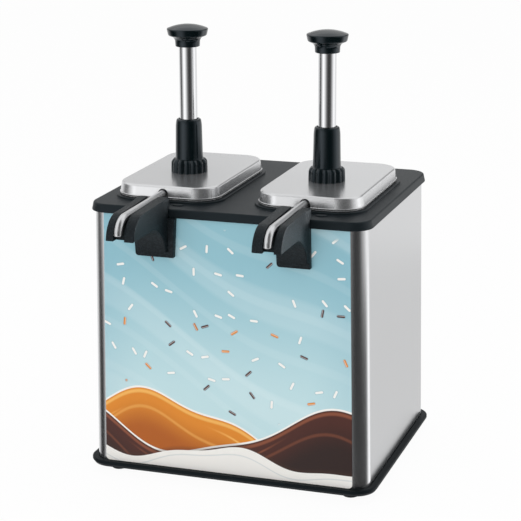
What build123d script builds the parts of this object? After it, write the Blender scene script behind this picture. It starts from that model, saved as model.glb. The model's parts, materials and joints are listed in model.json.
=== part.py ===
from build123d import *

import math
import os

# Twin hot topping warmer: a steel-wrapped counter housing with two heated wells, each holding a
# lift-out jar with a lid-mounted hand pump that dispenses through a tube over a front spout.
# Millimetres. X runs to the right, Y to the back, Z up. Z = 0 is the counter under the feet.
# Depths are counted back from the front panel plane, FRONT_Y; the origin is the middle of the
# whole footprint, from the nose tips to the back of the base.

# ---- Driving dimensions -------------------------------------------------------------------------
NOSE_REACH = 109.3  # how far the spout ends stand in front of the front panel
BODY_DEPTH = 298.0
RIM_OVERHANG = 8.0  # base tray past the steel wrap
FRONT_Y = (NOSE_REACH - BODY_DEPTH - RIM_OVERHANG) / 2

BODY_WIDTH = 345.0  # steel wrap, measured at the top
SIDE_FLARE = 0.0172  # each side wall leans out this much per mm downwards
BODY_RADIUS = 21.0
SHEET = 1.0

FOOT_HEIGHT = 10.0
BASE_RIM_Z = 17.5
FLOOR_Z = 13.0  # the steel wrap stands on the base floor
LIP_Z = 338.4  # lower edge of the top cover's lip
COVER_Z = 348.3  # flat top of the cover
COVER_THICK = 3.5
CURB_Z = 351.0  # raised curb round each jar opening
LIP_OVERHANG = 3.0
LIP_FLARE = 1.5
LIP_THICK = 2.5

WELL_X = 90.0  # each well, jar, lid and pump is this far from the middle
WELL_BACK = 135.5  # centre of the wells, behind the front panel
PUMP_BACK = 123.5  # pump axis, behind the front panel

JAR_WIDTH = 108.0
JAR_LENGTH = 188.0
JAR_RADIUS = 22.0
JAR_BOTTOM_Z = 124.0
JAR_RIM_Z = 353.0
JAR_RIM_THICK = 2.0

LID_WIDTH = 132.2
LID_LENGTH = 212.0
LID_RADIUS = 31.5
LID_Z = 367.5
LID_SHEET = 1.2
LID_EDGE = 3.0
LID_HEM_OUT = 0.9  # the rolled hem stands out past the lid's skirt
LID_HEM_Z = 1.5  # and is this tall

OPENING_GAP = 5.0  # cover opening past the jar, each side
WELL_GAP = 4.0  # well wall past the jar, each side
WELL_THICK = 1.5
WELL_BOTTOM_Z = 118.0

TUBE_R = 11.0  # plunger tube
STROKE = 80.0
KNOB_BOTTOM_Z = 525.0
KNOB_R = 25.8
COLLAR_TOP_Z = 434.5
NUT_R = 22.9
NUT_TOP_Z = 384.0
RUNNING_FIT = 0.06

CYLINDER_R = 15.25
BORE_R = 13.5
CYLINDER_BOTTOM_Z = 236.0
SHOULDER_Z = 362.0  # underside of the cylinder head, the plunger's upper stop
PISTON_HEIGHT = 15.0
STUB_R = 14.0

DISCHARGE_R = 4.75
DISCHARGE_WALL = 0.8
OUTLET_REACH = 110.0  # centre of the tube's down-turned end, ahead of the front panel
RISER_AHEAD = 30.0  # riser in front of the pump axis
RISER_FOOT_Z = 239.0
OUTLET_HIGH_Z = 358.15  # tube centre where it leaves the lid
OUTLET_SLOPE = 0.008
OUTLET_BEND_R = 16.0
RISER_BEND_R = 16.0
OUTLET_END_Z = 340.0

CHEEK_OUT = 17.6
GROOVE_HALF = 6.9
NOSE_SHIFT = {"left": 1.3, "right": -2.0}  # the cheeks stand off the tube's line, to the middle
NOSE_UNDER_Z = 332.5
PLATE_FRONT = 9.0  # plate's front face, ahead of the front panel
PLATE_BOTTOM_Z = 289.5


def y_at(back):
    """Y of a plane this far behind the front panel."""
    return FRONT_Y + back


# ---- Shared shapes ------------------------------------------------------------------------------
def slab(width, length, radius, z0, z1, x=0.0, y=0.0):
    """An upright block with rounded corners, centred on x, y."""
    return extrude(Pos(x, y, z0) * RectangleRounded(width, length, radius), z1 - z0)


def body_width(z):
    return BODY_WIDTH + 2 * SIDE_FLARE * (LIP_Z - z)


def body_slab(inset, z0, z1):
    """The housing's outline drawn in by inset, with its sides leaning out downwards."""
    middle = y_at(BODY_DEPTH / 2)
    sections = [
        Pos(0, middle, z)
        * RectangleRounded(body_width(z) - 2 * inset, BODY_DEPTH - 2 * inset, BODY_RADIUS - inset)
        for z in (z0, z1)
    ]
    return loft(sections)


def turned(points, x=0.0, y=0.0):
    """A solid of revolution about the upright line x, y from (radius, height) points."""
    profile = make_face(Plane.XZ * Polyline(*points, close=True))
    return Pos(x, y, 0) * revolve(profile, Axis.Z)


def drilled(x, y, z0, z1, radius):
    return Pos(x, y, (z0 + z1) / 2) * Cylinder(radius, z1 - z0)


def outer_edges_at(part, z):
    """The edges of the outermost loop at height z."""
    faces = part.faces().filter_by(Plane.XY).filter_by_position(Axis.Z, z - 0.01, z + 0.01)
    return faces.sort_by(SortBy.AREA)[-1].outer_wire().edges()


# ---- Base ---------------------------------------------------------------------------------------
UPSTAND_GAP = 0.6
UPSTAND_THICK = 2.5
UPSTAND_TOP_Z = 30.0
GROOVE_GAP = 0.5
BASE_UNDERCUT = 2.5
FOOT_R = 12.0
FOOT_INSET = 26.0
SCREW_R = 2.0


def foot_places():
    half = body_width(FOOT_HEIGHT) / 2 - FOOT_INSET
    return [(sx * half, y_at(v)) for sx in (-1, 1) for v in (FOOT_INSET - 4, BODY_DEPTH - FOOT_INSET)]


def base_tray():
    """Moulded tray: a rim round the steel wrap, a groove that the wrap stands in, an upstand."""
    middle = y_at(BODY_DEPTH / 2)
    width = body_width(BASE_RIM_Z) + 2 * RIM_OVERHANG
    length = BODY_DEPTH + 2 * RIM_OVERHANG
    radius = BODY_RADIUS + RIM_OVERHANG
    belt_z = FOOT_HEIGHT + 3.5
    under = loft([
        Pos(0, middle, FOOT_HEIGHT)
        * RectangleRounded(width - 2 * BASE_UNDERCUT, length - 2 * BASE_UNDERCUT, radius - BASE_UNDERCUT),
        Pos(0, middle, belt_z) * RectangleRounded(width, length, radius),
    ])
    rim = slab(width, length, radius, belt_z, BASE_RIM_Z, y=middle)
    rim = fillet(outer_edges_at(rim, BASE_RIM_Z), 1.5)
    tray = under + rim
    tray -= body_slab(-GROOVE_GAP, FLOOR_Z, BASE_RIM_Z + 1)
    outer = SHEET + UPSTAND_GAP
    upstand = body_slab(outer, FLOOR_Z - 0.5, UPSTAND_TOP_Z)
    upstand -= body_slab(outer + UPSTAND_THICK, FLOOR_Z - 1, UPSTAND_TOP_Z + 1)
    tray += upstand
    for x, y in foot_places():
        tray -= drilled(x, y, FOOT_HEIGHT - 1, FLOOR_Z + 1, SCREW_R)
    return tray


def feet():
    """Four rubber feet, each a short cone with a recess for its screw head."""
    outside = [(4.5, 0), (FOOT_R - 3.0, 0), (FOOT_R - 2.0, 1.0), (FOOT_R, FOOT_HEIGHT)]
    inside = [(SCREW_R, FOOT_HEIGHT), (SCREW_R, 5.0), (4.5, 5.0)]
    profile = outside + inside
    return Compound(children=[turned(profile, x, y) for x, y in foot_places()])


def foot_screws():
    head = [(0, 2.2), (3.8, 2.2), (3.8, 5.0), (SCREW_R, 5.0)]
    shank = [(SCREW_R, FLOOR_Z + 3.5), (0, FLOOR_Z + 3.5)]
    return Compound(children=[turned(head + shank, x, y) for x, y in foot_places()])


# ---- Steel wrap, back panel and front panel -----------------------------------------------------
SPOUT_SCREW_Z = (302.0, 326.0)
SPOUT_SCREW_DEPTH = 5.5  # into the plate


def spout_screw_holes(radius):
    """Bores for the screws that hold the spout housings, from inside the wrap into the plates."""
    length = SHEET * 2 + SPOUT_SCREW_DEPTH + 0.5
    centre = y_at(SHEET - length / 2)
    bores = [
        Pos(sx * WELL_X, centre, z) * Rot(90, 0, 0) * Cylinder(radius, length + 0.01)
        for sx in (-1, 1)
        for z in SPOUT_SCREW_Z
    ]
    return Compound(children=bores)


WRAP_TOP_Z = COVER_Z - COVER_THICK
FLANGE = 9.0
HATCH_WIDTH = 236.0
HATCH_Z = (48.0, 304.0)
HATCH_COVER = 12.0  # back panel past the hatch, each side
PANEL_WIDTH = 309.5  # graphic panel, measured at the top
PANEL_TOP_Z = 341.0
PANEL_BOTTOM_Z = 17.8
PANEL_RADIUS = 5.0
SWITCH_X = 78.0
SWITCH_Z = 78.0
GLAND_X = -78.0
GLAND_Z = 70.0
CUTOUT = (22.0, 28.4)
GLAND_HOLE_R = 8.2


def shroud():
    """The steel wrap: four walls with a narrow flange folded in under the cover."""
    wrap = body_slab(0, FLOOR_Z, WRAP_TOP_Z)
    wrap -= body_slab(SHEET, FLOOR_Z - 1, WRAP_TOP_Z - SHEET)
    middle = y_at(BODY_DEPTH / 2)
    width = body_width(WRAP_TOP_Z)
    wrap -= slab(width - 2 * FLANGE, BODY_DEPTH - 2 * FLANGE, BODY_RADIUS - FLANGE, 330, 350, y=middle)
    low, high = HATCH_Z
    hatch = Pos(0, y_at(BODY_DEPTH), (low + high) / 2) * Box(HATCH_WIDTH, 6, high - low)
    wrap -= hatch
    for x, z in back_screw_places():
        wrap -= Pos(x, y_at(BODY_DEPTH), z) * Rot(90, 0, 0) * Cylinder(1.6, 8)
    for x, y in cover_screw_places():
        wrap -= drilled(x, y, WRAP_TOP_Z - 3, WRAP_TOP_Z + 1, 1.8)
    return wrap - spout_screw_holes(1.8)


def back_screw_places():
    low, high = HATCH_Z
    side = HATCH_WIDTH / 2 + HATCH_COVER / 2
    return [(sx * side, z) for sx in (-1, 1) for z in (low + 20, (low + high) / 2, high - 20)]


def back_panel():
    """Removable rear plate with a turned-in stiffening edge, the switch and the cable gland holes."""
    low, high = HATCH_Z
    width = HATCH_WIDTH + 2 * HATCH_COVER
    height = high - low + 2 * HATCH_COVER
    outline = Plane.XZ * Pos(0, (low + high) / 2) * RectangleRounded(width, height, 8)
    plate = Pos(0, y_at(BODY_DEPTH) + SHEET, 0) * extrude(outline, SHEET)
    plate -= Pos(SWITCH_X, y_at(BODY_DEPTH), SWITCH_Z) * Box(CUTOUT[0], 8, CUTOUT[1])
    plate -= Pos(GLAND_X, y_at(BODY_DEPTH), GLAND_Z) * Rot(90, 0, 0) * Cylinder(GLAND_HOLE_R, 8)
    for x, z in back_screw_places():
        plate -= Pos(x, y_at(BODY_DEPTH), z) * Rot(90, 0, 0) * Cylinder(1.6, 8)
    for row in range(7):
        for sx in (-1, 0, 1):
            slot = Plane.XZ * Pos(sx * 62, high - 26 - 8 * row) * SlotOverall(46, 3)
            plate -= Pos(0, y_at(BODY_DEPTH) + 3, 0) * extrude(slot, 6)
    return plate


def back_screws():
    """Six pan-head screws through the rear plate into the wrap."""
    head = [(0, 0), (3.0, 0), (3.0, 1.0), (2.2, 2.0), (0, 2.0)]
    shank = [(0, -5), (1.5, -5), (1.5, 0)]
    screw = turned(shank + head[1:])
    places = [Pos(x, y_at(BODY_DEPTH) + SHEET, z) * Rot(-90, 0, 0) for x, z in back_screw_places()]
    return Compound(children=[place * screw for place in places])


def front_panel():
    """The printed front sheet, a little wider at the foot than at the top like the wrap behind it."""
    half_top = PANEL_WIDTH / 2
    half_bottom = half_top + SIDE_FLARE * (PANEL_TOP_Z - PANEL_BOTTOM_Z)
    corners = [
        (-half_bottom, PANEL_BOTTOM_Z),
        (half_bottom, PANEL_BOTTOM_Z),
        (half_top, PANEL_TOP_Z),
        (-half_top, PANEL_TOP_Z),
    ]
    outline = make_face(Plane.XZ * Polyline(*corners, close=True))
    sheet = Pos(0, y_at(0), 0) * extrude(outline, SHEET)
    return fillet(sheet.edges().filter_by(Axis.Y), PANEL_RADIUS) - spout_screw_holes(1.8)


# ---- Top cover ----------------------------------------------------------------------------------
CURB_PAST_LID = 4.2
COVER_SCREW_INSET = 5.5
MARK_BESIDE = 24.5
MARK_BACK = 18.0


def cover_screw_places():
    half = body_width(WRAP_TOP_Z) / 2
    across = half - COVER_SCREW_INSET
    return [(sx * across, y_at(v)) for sx in (-1, 1) for v in (70.0, 228.0)]


def top_cover():
    """Moulded cover: a flat deck with a flared lip, and a raised curb round each jar opening."""
    middle = y_at(BODY_DEPTH / 2)
    width = BODY_WIDTH + 2 * LIP_OVERHANG
    length = BODY_DEPTH + 2 * LIP_OVERHANG
    radius = BODY_RADIUS + LIP_OVERHANG

    def ring(grow, z):
        return Pos(0, middle, z) * RectangleRounded(width + 2 * grow, length + 2 * grow, radius + grow)

    cover = loft([ring(LIP_FLARE, LIP_Z), ring(0, COVER_Z)])
    cover = fillet(outer_edges_at(cover, COVER_Z), 2.5)
    cover -= loft([ring(LIP_FLARE - LIP_THICK, LIP_Z - 1), ring(-LIP_THICK, COVER_Z - COVER_THICK)])
    for sx in (-1, 1):
        x, y = sx * WELL_X, y_at(WELL_BACK)
        curb = slab(
            LID_WIDTH + 2 * CURB_PAST_LID,
            LID_LENGTH + 2 * CURB_PAST_LID,
            LID_RADIUS + CURB_PAST_LID,
            COVER_Z - 1,
            CURB_Z,
            x,
            y,
        )
        cover += fillet(outer_edges_at(curb, CURB_Z), 1.5)
        mark = Pos(x + MARK_BESIDE, y_at(MARK_BACK), COVER_Z - 1) * Ellipse(7.2, 4.2)
        cover += extrude(mark, 2.2, taper=10)
    for sx in (-1, 1):
        cover -= slab(
            JAR_WIDTH + 2 * OPENING_GAP,
            JAR_LENGTH + 2 * OPENING_GAP,
            JAR_RADIUS + OPENING_GAP,
            COVER_Z - 10,
            CURB_Z + 1,
            sx * WELL_X,
            y_at(WELL_BACK),
        )
    for x, y in cover_screw_places():
        cover -= drilled(x, y, COVER_Z - 5, COVER_Z - 1, 1.3)
    return cover


def cover_screws():
    """Four short screws up through the wrap's flange into the cover."""
    top, bottom = COVER_Z - 1.2, WRAP_TOP_Z - SHEET
    profile = [(0, bottom - 1.8), (2.6, bottom - 1.8), (2.6, bottom), (1.3, bottom), (1.3, top), (0, top)]
    return Compound(children=[turned(profile, x, y) for x, y in cover_screw_places()])


# ---- Spout housings -----------------------------------------------------------------------------
NOSE_BEND_R = 29.7
NOSE_BEND_CENTRE = (-79.3, 330.2)
GROOVE_BEND_R = 20.6  # the groove's floor rounds the nose at this radius
CHEEK_REAR_Z = 362.0
NOSE_WALL = 2.7
ARCH_APEX = (-55.0, NOSE_UNDER_Z)
ARCH_FOOT = (-13.0, 297.0)
FLARE_OUT = 19.6  # the cheeks sweep out to this half-width where they meet the plate
FLARE_DEPTH = 15.0
# Reach of the plate beyond the pump's centre line at its foot and under the cover's lip.
PLATE_LEFT = {"left": (21.0, 23.5), "right": (22.3, 24.8)}
PLATE_RIGHT = {"left": (27.2, 29.9), "right": (18.5, 17.8)}
TONGUE_BACK = 14.0


def outlet_z(back):
    """Height of the discharge tube's centre over a plane this far behind the front panel."""
    return OUTLET_HIGH_Z + OUTLET_SLOPE * (back - (WELL_BACK - LID_LENGTH / 2))


def side_extrude(face, x0, x1):
    """Extrude an outline drawn as (depth, height) across X from x0 to x1, at the front panel."""
    placed = Plane((x0, y_at(0), 0), x_dir=(0, 1, 0), z_dir=(1, 0, 0)) * face
    return extrude(placed, x1 - x0)


def nose_outline():
    """Side view of the nose: sloping top, rounded front, level underside and an arch to the plate."""
    centre_y, centre_z = NOSE_BEND_CENTRE
    top_z = centre_z + NOSE_BEND_R
    tip_angle = math.asin((NOSE_UNDER_Z - centre_z) / NOSE_BEND_R)
    tip = (centre_y - NOSE_BEND_R * math.cos(tip_angle), NOSE_UNDER_Z)
    half = math.radians(45)
    bend_middle = (centre_y - NOSE_BEND_R * math.cos(half), centre_z + NOSE_BEND_R * math.sin(half))
    apex, foot = ARCH_APEX, ARCH_FOOT
    arch_middle = (
        apex[0] + (foot[0] - apex[0]) * math.sin(half),
        foot[1] + (apex[1] - foot[1]) * math.cos(half),
    )
    corners = [foot, (-5.9, foot[1]), (-5.9, COVER_Z + 0.5), (-1.0, COVER_Z + 0.5), (-1.0, CHEEK_REAR_Z)]
    edges = [
        Line(corners[-1], (centre_y, top_z)),
        ThreePointArc((centre_y, top_z), bend_middle, tip),
        Line(tip, apex),
        ThreePointArc(apex, arch_middle, foot),
    ]
    edges += [Line(a, b) for a, b in zip(corners, corners[1:])]
    return make_face(edges)


def nose_plan():
    """Top view of the nose: parallel cheeks that sweep out to the plate in a concave flare."""
    spread = FLARE_OUT - CHEEK_OUT
    start = -PLATE_FRONT - FLARE_DEPTH
    radius = (FLARE_DEPTH**2 + spread**2) / (2 * spread)
    middle = (CHEEK_OUT + radius - math.sqrt(radius**2 - FLARE_DEPTH**2 / 4), start + FLARE_DEPTH / 2)
    right = [
        Line((CHEEK_OUT, -115), (CHEEK_OUT, start)),
        ThreePointArc((CHEEK_OUT, start), middle, (FLARE_OUT, -PLATE_FRONT)),
        Line((FLARE_OUT, -PLATE_FRONT), (FLARE_OUT, 5)),
    ]
    left = [edge.mirror(Plane.YZ) for edge in right]
    closing = [Line((-CHEEK_OUT, -115), (CHEEK_OUT, -115)), Line((-FLARE_OUT, 5), (FLARE_OUT, 5))]
    return make_face(right + left + closing)


def nose_body(shift):
    """The nose without its groove: side view and top view intersected, then eased at the top."""
    outline = nose_outline()
    nose = side_extrude(outline, -FLARE_OUT - 1, FLARE_OUT + 1)
    nose &= extrude(Pos(0, y_at(0), 280) * nose_plan(), 90)
    # the flare's top corners are rounded where they stand above the cover
    tall = 2 * (CHEEK_REAR_Z - 280)
    envelope = Pos(0, y_at(-60), 280) * Box(2 * FLARE_OUT, 150, tall)
    envelope = fillet(envelope.edges().filter_by(Axis.Y).sort_by(Axis.Z)[-2:], FLARE_OUT - CHEEK_OUT + 1.5)
    return Pos(shift, 0, 0) * (nose & envelope)


def lower_plate(side):
    """The plate below the cover's lip, drawn in a little towards its foot."""
    right_foot, right_top = PLATE_RIGHT[side]
    left_foot, left_top = PLATE_LEFT[side]
    corners = [
        (-left_foot, PLATE_BOTTOM_Z),
        (right_foot, PLATE_BOTTOM_Z),
        (right_top, LIP_Z - 0.6),
        (-left_top, LIP_Z - 0.6),
    ]
    outline = make_face(Plane.XZ * Polyline(*corners, close=True))
    plate = Pos(0, y_at(-SHEET), 0) * extrude(outline, PLATE_FRONT - SHEET)
    low = plate.edges().filter_by(Axis.Y).sort_by(Axis.Z)[:2].sort_by(Axis.X)
    return fillet(low[0], 3.5)


def tube_groove():
    """The cut for the discharge tube: a sloping run, a bend and an open front."""
    clear = DISCHARGE_R + 0.65
    run_front = NOSE_BEND_CENTRE[0]
    inner = GROOVE_BEND_R
    bend_z = outlet_z(run_front) - clear - inner
    half = math.radians(45)
    middle = (run_front - inner * math.cos(half), bend_z + inner * math.sin(half))
    start = (40, outlet_z(40) - clear)
    corners = [(run_front - inner, bend_z), (run_front - inner, bend_z - 8), (-140, bend_z - 8)]
    corners += [(-140, 380), (40, 380), start]
    edges = [Line(start, (run_front, bend_z + inner))]
    edges.append(ThreePointArc((run_front, bend_z + inner), middle, corners[0]))
    edges += [Line(a, b) for a, b in zip(corners, corners[1:])]
    return side_extrude(make_face(edges), -GROOVE_HALF, GROOVE_HALF)


def cheek_pockets(shift):
    """The nose is moulded hollow: one pocket in each cheek, open below, ahead of the arch."""
    core = offset(nose_outline(), -NOSE_WALL, kind=Kind.INTERSECTION)
    near, far = GROOVE_HALF + NOSE_WALL, CHEEK_OUT - NOSE_WALL
    pockets = side_extrude(core, near, far + shift) + side_extrude(core, -far + shift, -near)
    pockets += Pos(0, 0, -8) * pockets
    return pockets & Pos(0, y_at(-80), 330) * Box(60, 56, 60)


def spout_housing(side):
    """Moulded spout: a plate hung in front of the panel and a nose with an open-topped groove."""
    shift = NOSE_SHIFT[side]
    housing = nose_body(shift) + lower_plate(side)
    tongue = Pos(0, y_at((TONGUE_BACK - 4.0) / 2), COVER_Z + 1.5) * Box(24, TONGUE_BACK + 4.0, 3.0)
    housing = housing + tongue - tube_groove() - cheek_pockets(shift)
    x = WELL_X * (-1 if side == "left" else 1)
    return Pos(x, 0, 0) * housing - spout_screw_holes(1.5)


def spout_screws():
    """Two screws from inside the housing into each spout's plate."""
    screws = []
    reach = 2 * SHEET + SPOUT_SCREW_DEPTH
    profile = [(0, -2.0), (3.0, -2.0), (3.0, 0), (1.5, 0), (1.5, reach), (0, reach)]
    for sx in (-1, 1):
        for z in SPOUT_SCREW_Z:
            place = Pos(sx * WELL_X, y_at(SHEET), z) * Rot(90, 0, 0)
            screws.append(place * turned(profile))
    return Compound(children=screws)


# ---- Wells --------------------------------------------------------------------------------------
HEATER_THICK = 1.6
HEATER_Z = (128.0, 222.0)
BLANKET_THICK = 7.0
BLANKET_Z = (110.0, 332.0)


def well(sx):
    """Deep-drawn aluminium well with a flange that hangs under the cover."""
    x, y = sx * WELL_X, y_at(WELL_BACK)
    width, length, radius = JAR_WIDTH + 2 * WELL_GAP, JAR_LENGTH + 2 * WELL_GAP, JAR_RADIUS + WELL_GAP
    t = WELL_THICK
    top = COVER_Z - COVER_THICK
    pan = slab(width + 2 * t, length + 2 * t, radius + t, WELL_BOTTOM_Z, top, x, y)
    pan = fillet(outer_edges_at(pan, WELL_BOTTOM_Z), 8.0)
    hollow = slab(width, length, radius, WELL_BOTTOM_Z + t, top + 1, x, y)
    hollow = fillet(outer_edges_at(hollow, WELL_BOTTOM_Z + t), 6.5)
    pan += slab(width + 20, length + 20, radius + 10, top - t, top, x, y)
    return pan - hollow


def heater(sx):
    """Silicone heater mat wrapped round the lower part of the well."""
    x, y = sx * WELL_X, y_at(WELL_BACK)
    grow = WELL_GAP + WELL_THICK
    low, high = HEATER_Z
    width, length, radius = JAR_WIDTH + 2 * grow, JAR_LENGTH + 2 * grow, JAR_RADIUS + grow
    t = HEATER_THICK
    mat = slab(width + 2 * t, length + 2 * t, radius + t, low, high, x, y)
    return mat - slab(width, length, radius, low - 1, high + 1, x, y)


def insulation(sx):
    """Glass-fibre blanket round and under the well."""
    x, y = sx * WELL_X, y_at(WELL_BACK)
    grow = WELL_GAP + WELL_THICK + HEATER_THICK
    low, high = BLANKET_Z
    width, length, radius = JAR_WIDTH + 2 * grow, JAR_LENGTH + 2 * grow, JAR_RADIUS + grow
    t = BLANKET_THICK
    blanket = slab(width + 2 * t, length + 2 * t, radius + t, low, high, x, y)
    blanket -= slab(width, length, radius, WELL_BOTTOM_Z, high + 1, x, y)
    return blanket - drilled(x, y + 40, low - 1, WELL_BOTTOM_Z, 18)


def thermostat(sx):
    """Disc thermostat on the underside of the well, with two blade terminals."""
    x, y = sx * WELL_X, y_at(WELL_BACK) + 40
    top = WELL_BOTTOM_Z
    body = turned([(0, top), (8, top), (8, top - 5), (7, top - 5), (7, top - 12), (0, top - 12)], x, y)
    body += Pos(x, y, top - 0.6) * Box(34, 8, 1.2)
    for dx in (-3.5, 3.5):
        body += Pos(x + dx, y, top - 16) * Box(0.8, 6.3, 9)
    return body


# ---- Jars ---------------------------------------------------------------------------------------
def jar(sx):
    """Lift-out steel jar with a broad flange and a rolled rim that the lid's hem hides."""
    x, y = sx * WELL_X, y_at(WELL_BACK)
    t = SHEET
    body = slab(JAR_WIDTH, JAR_LENGTH, JAR_RADIUS, JAR_BOTTOM_Z, JAR_RIM_Z - 0.5, x, y)
    body = fillet(outer_edges_at(body, JAR_BOTTOM_Z), 9.0)
    grow = -1.0
    rim = slab(
        LID_WIDTH + 2 * grow,
        LID_LENGTH + 2 * grow,
        LID_RADIUS + grow,
        JAR_RIM_Z - JAR_RIM_THICK,
        JAR_RIM_Z,
        x,
        y,
    )
    rim = fillet(outer_edges_at(rim, JAR_RIM_Z), 0.9)
    rim = fillet(outer_edges_at(rim, JAR_RIM_Z - JAR_RIM_THICK), 0.9)
    hollow = slab(JAR_WIDTH - 2 * t, JAR_LENGTH - 2 * t, JAR_RADIUS - t, JAR_BOTTOM_Z + t, 360, x, y)
    hollow = fillet(outer_edges_at(hollow, JAR_BOTTOM_Z + t), 8.0)
    return body + rim - hollow


# ---- Pumps --------------------------------------------------------------------------------------
NOTCH_HALF = 7.2
NOTCH_TOP_Z = 364.9
NOTCH_FLARE = 3.0  # the notch's mouth is rounded outwards at the hem
LID_GAP = 0.2
NUT_RIBS = 14
SEAL_CLEAR = 0.04
VALVE_R = 18.0
VALVE_BOTTOM_Z = 196.0
BALL_R = 6.5
BALL_LIFT = 4.0
INLET_R = 4.5
SMALL_BALL_R = 4.3
BOSS_R = 8.5


def lid(sx):
    """Drawn steel lid with a rounded top edge, a hem, a notch for the tube and a pump hole."""
    x, y = sx * WELL_X, y_at(WELL_BACK)
    low = JAR_RIM_Z + LID_GAP
    t, out = LID_SHEET, LID_HEM_OUT
    width, length, radius = LID_WIDTH - 2 * out, LID_LENGTH - 2 * out, LID_RADIUS - out
    shell = slab(width, length, radius, low, LID_Z, x, y)
    shell = fillet(outer_edges_at(shell, LID_Z), LID_EDGE)
    hem = slab(LID_WIDTH, LID_LENGTH, LID_RADIUS, low, low + LID_HEM_Z, x, y)
    shell += fillet(outer_edges_at(hem, low + LID_HEM_Z), 0.6)
    hollow = slab(width - 2 * t, length - 2 * t, radius - t, low - 1, LID_Z - t, x, y)
    hollow = fillet(outer_edges_at(hollow, LID_Z - t), LID_EDGE - t)
    shell -= hollow
    shell -= drilled(x, y_at(PUMP_BACK), LID_Z - 5, LID_Z + 5, STUB_R + 0.5)
    arch_z = NOTCH_TOP_Z - NOTCH_HALF
    front = y_at(WELL_BACK - LID_LENGTH / 2)
    notch = Pos(x, front, (low - 1 + arch_z) / 2) * Box(2 * NOTCH_HALF, 12, arch_z - low + 1)
    notch += Pos(x, front, arch_z) * Rot(90, 0, 0) * Cylinder(NOTCH_HALF, 12)
    for end in (-1, 1):
        # a square corner less a quarter round leaves the flared mouth
        corner_x = x + end * (NOTCH_HALF + NOTCH_FLARE / 2)
        corner = Pos(corner_x, front, low + NOTCH_FLARE / 2) * Box(NOTCH_FLARE, 12, NOTCH_FLARE)
        round_x = x + end * (NOTCH_HALF + NOTCH_FLARE)
        round_off = Pos(round_x, front, low + NOTCH_FLARE) * Rot(90, 0, 0) * Cylinder(NOTCH_FLARE, 14)
        notch += corner - round_off
    return shell - notch


def lock_collar(sx):
    """Tall tapered collar with a ribbed nut at its foot, screwed to the cylinder through the lid."""
    x, y = sx * WELL_X, y_at(PUMP_BACK)
    foot, head = LID_Z, COLLAR_TOP_Z
    flare = [(NUT_R, foot), (NUT_R - 0.4, NUT_TOP_Z - 3), (NUT_R - 3, NUT_TOP_Z)]
    cone = [(17.2, NUT_TOP_Z), (16.3, head - 5.5), (14.8, head - 2.0), (13.2, head - 0.3)]
    mouth = [(12.2, head), (TUBE_R + RUNNING_FIT, head - 3.4), (TUBE_R + RUNNING_FIT, head - 12)]
    inside = [(13.0, head - 14), (13.0, NUT_TOP_Z + 2), (STUB_R, NUT_TOP_Z + 2), (STUB_R, foot)]
    collar = turned(flare + cone + mouth + inside, x, y)
    for i in range(NUT_RIBS):
        angle = 2 * math.pi * (i + 0.5) / NUT_RIBS
        cx = x + (NUT_R + 1.3) * math.cos(angle)
        cy = y + (NUT_R + 1.3) * math.sin(angle)
        collar -= drilled(cx, cy, foot - 1, NUT_TOP_Z + 2, 3.4)
    return collar


def knob(sx):
    """Mushroom palm knob: shallow dome, coned rim and a waisted neck that grips the tube."""
    z0 = KNOB_BOTTOM_Z
    rim_z = z0 + 21.6
    socket = TUBE_R
    # the dome is an arc centred on the axis, so that it closes to a smooth crown
    rise = 4.8
    dome_r = (24.4**2 + rise**2) / (2 * rise)
    dome_middle = (12.5, rim_z + 5.9 - dome_r + math.sqrt(dome_r**2 - 12.5**2))
    edges = [
        Line((socket, z0), (14.2, z0)),
        ThreePointArc((14.2, z0), (14.9, z0 + 0.3), (15.2, z0 + 1.0)),
        Line((15.2, z0 + 1.0), (15.6, z0 + 5.5)),
        ThreePointArc((15.6, z0 + 5.5), (16.9, z0 + 9.3), (19.6, z0 + 12.2)),
        Line((19.6, z0 + 12.2), (23.0, z0 + 13.4)),
        ThreePointArc((23.0, z0 + 13.4), (24.0, z0 + 14.0), (24.5, z0 + 15.0)),
        Line((24.5, z0 + 15.0), (KNOB_R, rim_z - 0.6)),
        ThreePointArc((KNOB_R, rim_z - 0.6), (25.5, rim_z + 0.5), (24.4, rim_z + 1.1)),
        ThreePointArc((24.4, rim_z + 1.1), dome_middle, (0, rim_z + 5.9)),
        Line((0, rim_z + 5.9), (0, z0 + 16)),
        Line((0, z0 + 16), (socket, z0 + 16)),
        Line((socket, z0 + 16), (socket, z0)),
    ]
    profile = Plane.XZ * make_face(edges)
    return Pos(sx * WELL_X, y_at(PUMP_BACK), 0) * revolve(profile, Axis.Z)


def plunger_tube(sx):
    """Polished tube from the piston up into the knob, closed at its foot."""
    foot = SHOULDER_Z - 1.0 - PISTON_HEIGHT + 3
    top = KNOB_BOTTOM_Z + 15.5
    r = TUBE_R
    profile = [(0, foot), (r, foot), (r, top), (r - 1.2, top), (r - 1.2, foot + 1.5), (0, foot + 1.5)]
    return turned(profile, sx * WELL_X, y_at(PUMP_BACK))


def piston(sx):
    """Piston cup on the plunger's foot, grooved for its seal and dished for the spring."""
    top = SHOULDER_Z - 1.0
    foot = top - PISTON_HEIGHT
    r = BORE_R - 0.25
    groove_r = r - 2.0
    outside = [
        (r, foot),
        (r, foot + 5.5),
        (groove_r, foot + 5.5),
        (groove_r, foot + 9.5),
        (r, foot + 9.5),
        (r, top),
        (TUBE_R, top),
    ]
    inside = [(TUBE_R, foot + 3), (0, foot + 3), (0, foot + 1), (10.4, foot + 1), (10.4, foot)]
    return turned(outside + inside, sx * WELL_X, y_at(PUMP_BACK))


def piston_seal(sx):
    foot = SHOULDER_Z - 1.0 - PISTON_HEIGHT
    outer, inner = BORE_R - SEAL_CLEAR, BORE_R - 2.25
    low, high = foot + 5.6, foot + 9.4
    profile = [(inner, low), (outer - 0.4, low), (outer, low + 1.2), (outer, high - 1.2), (outer - 0.4, high), (inner, high)]
    return turned(profile, sx * WELL_X, y_at(PUMP_BACK))


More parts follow.
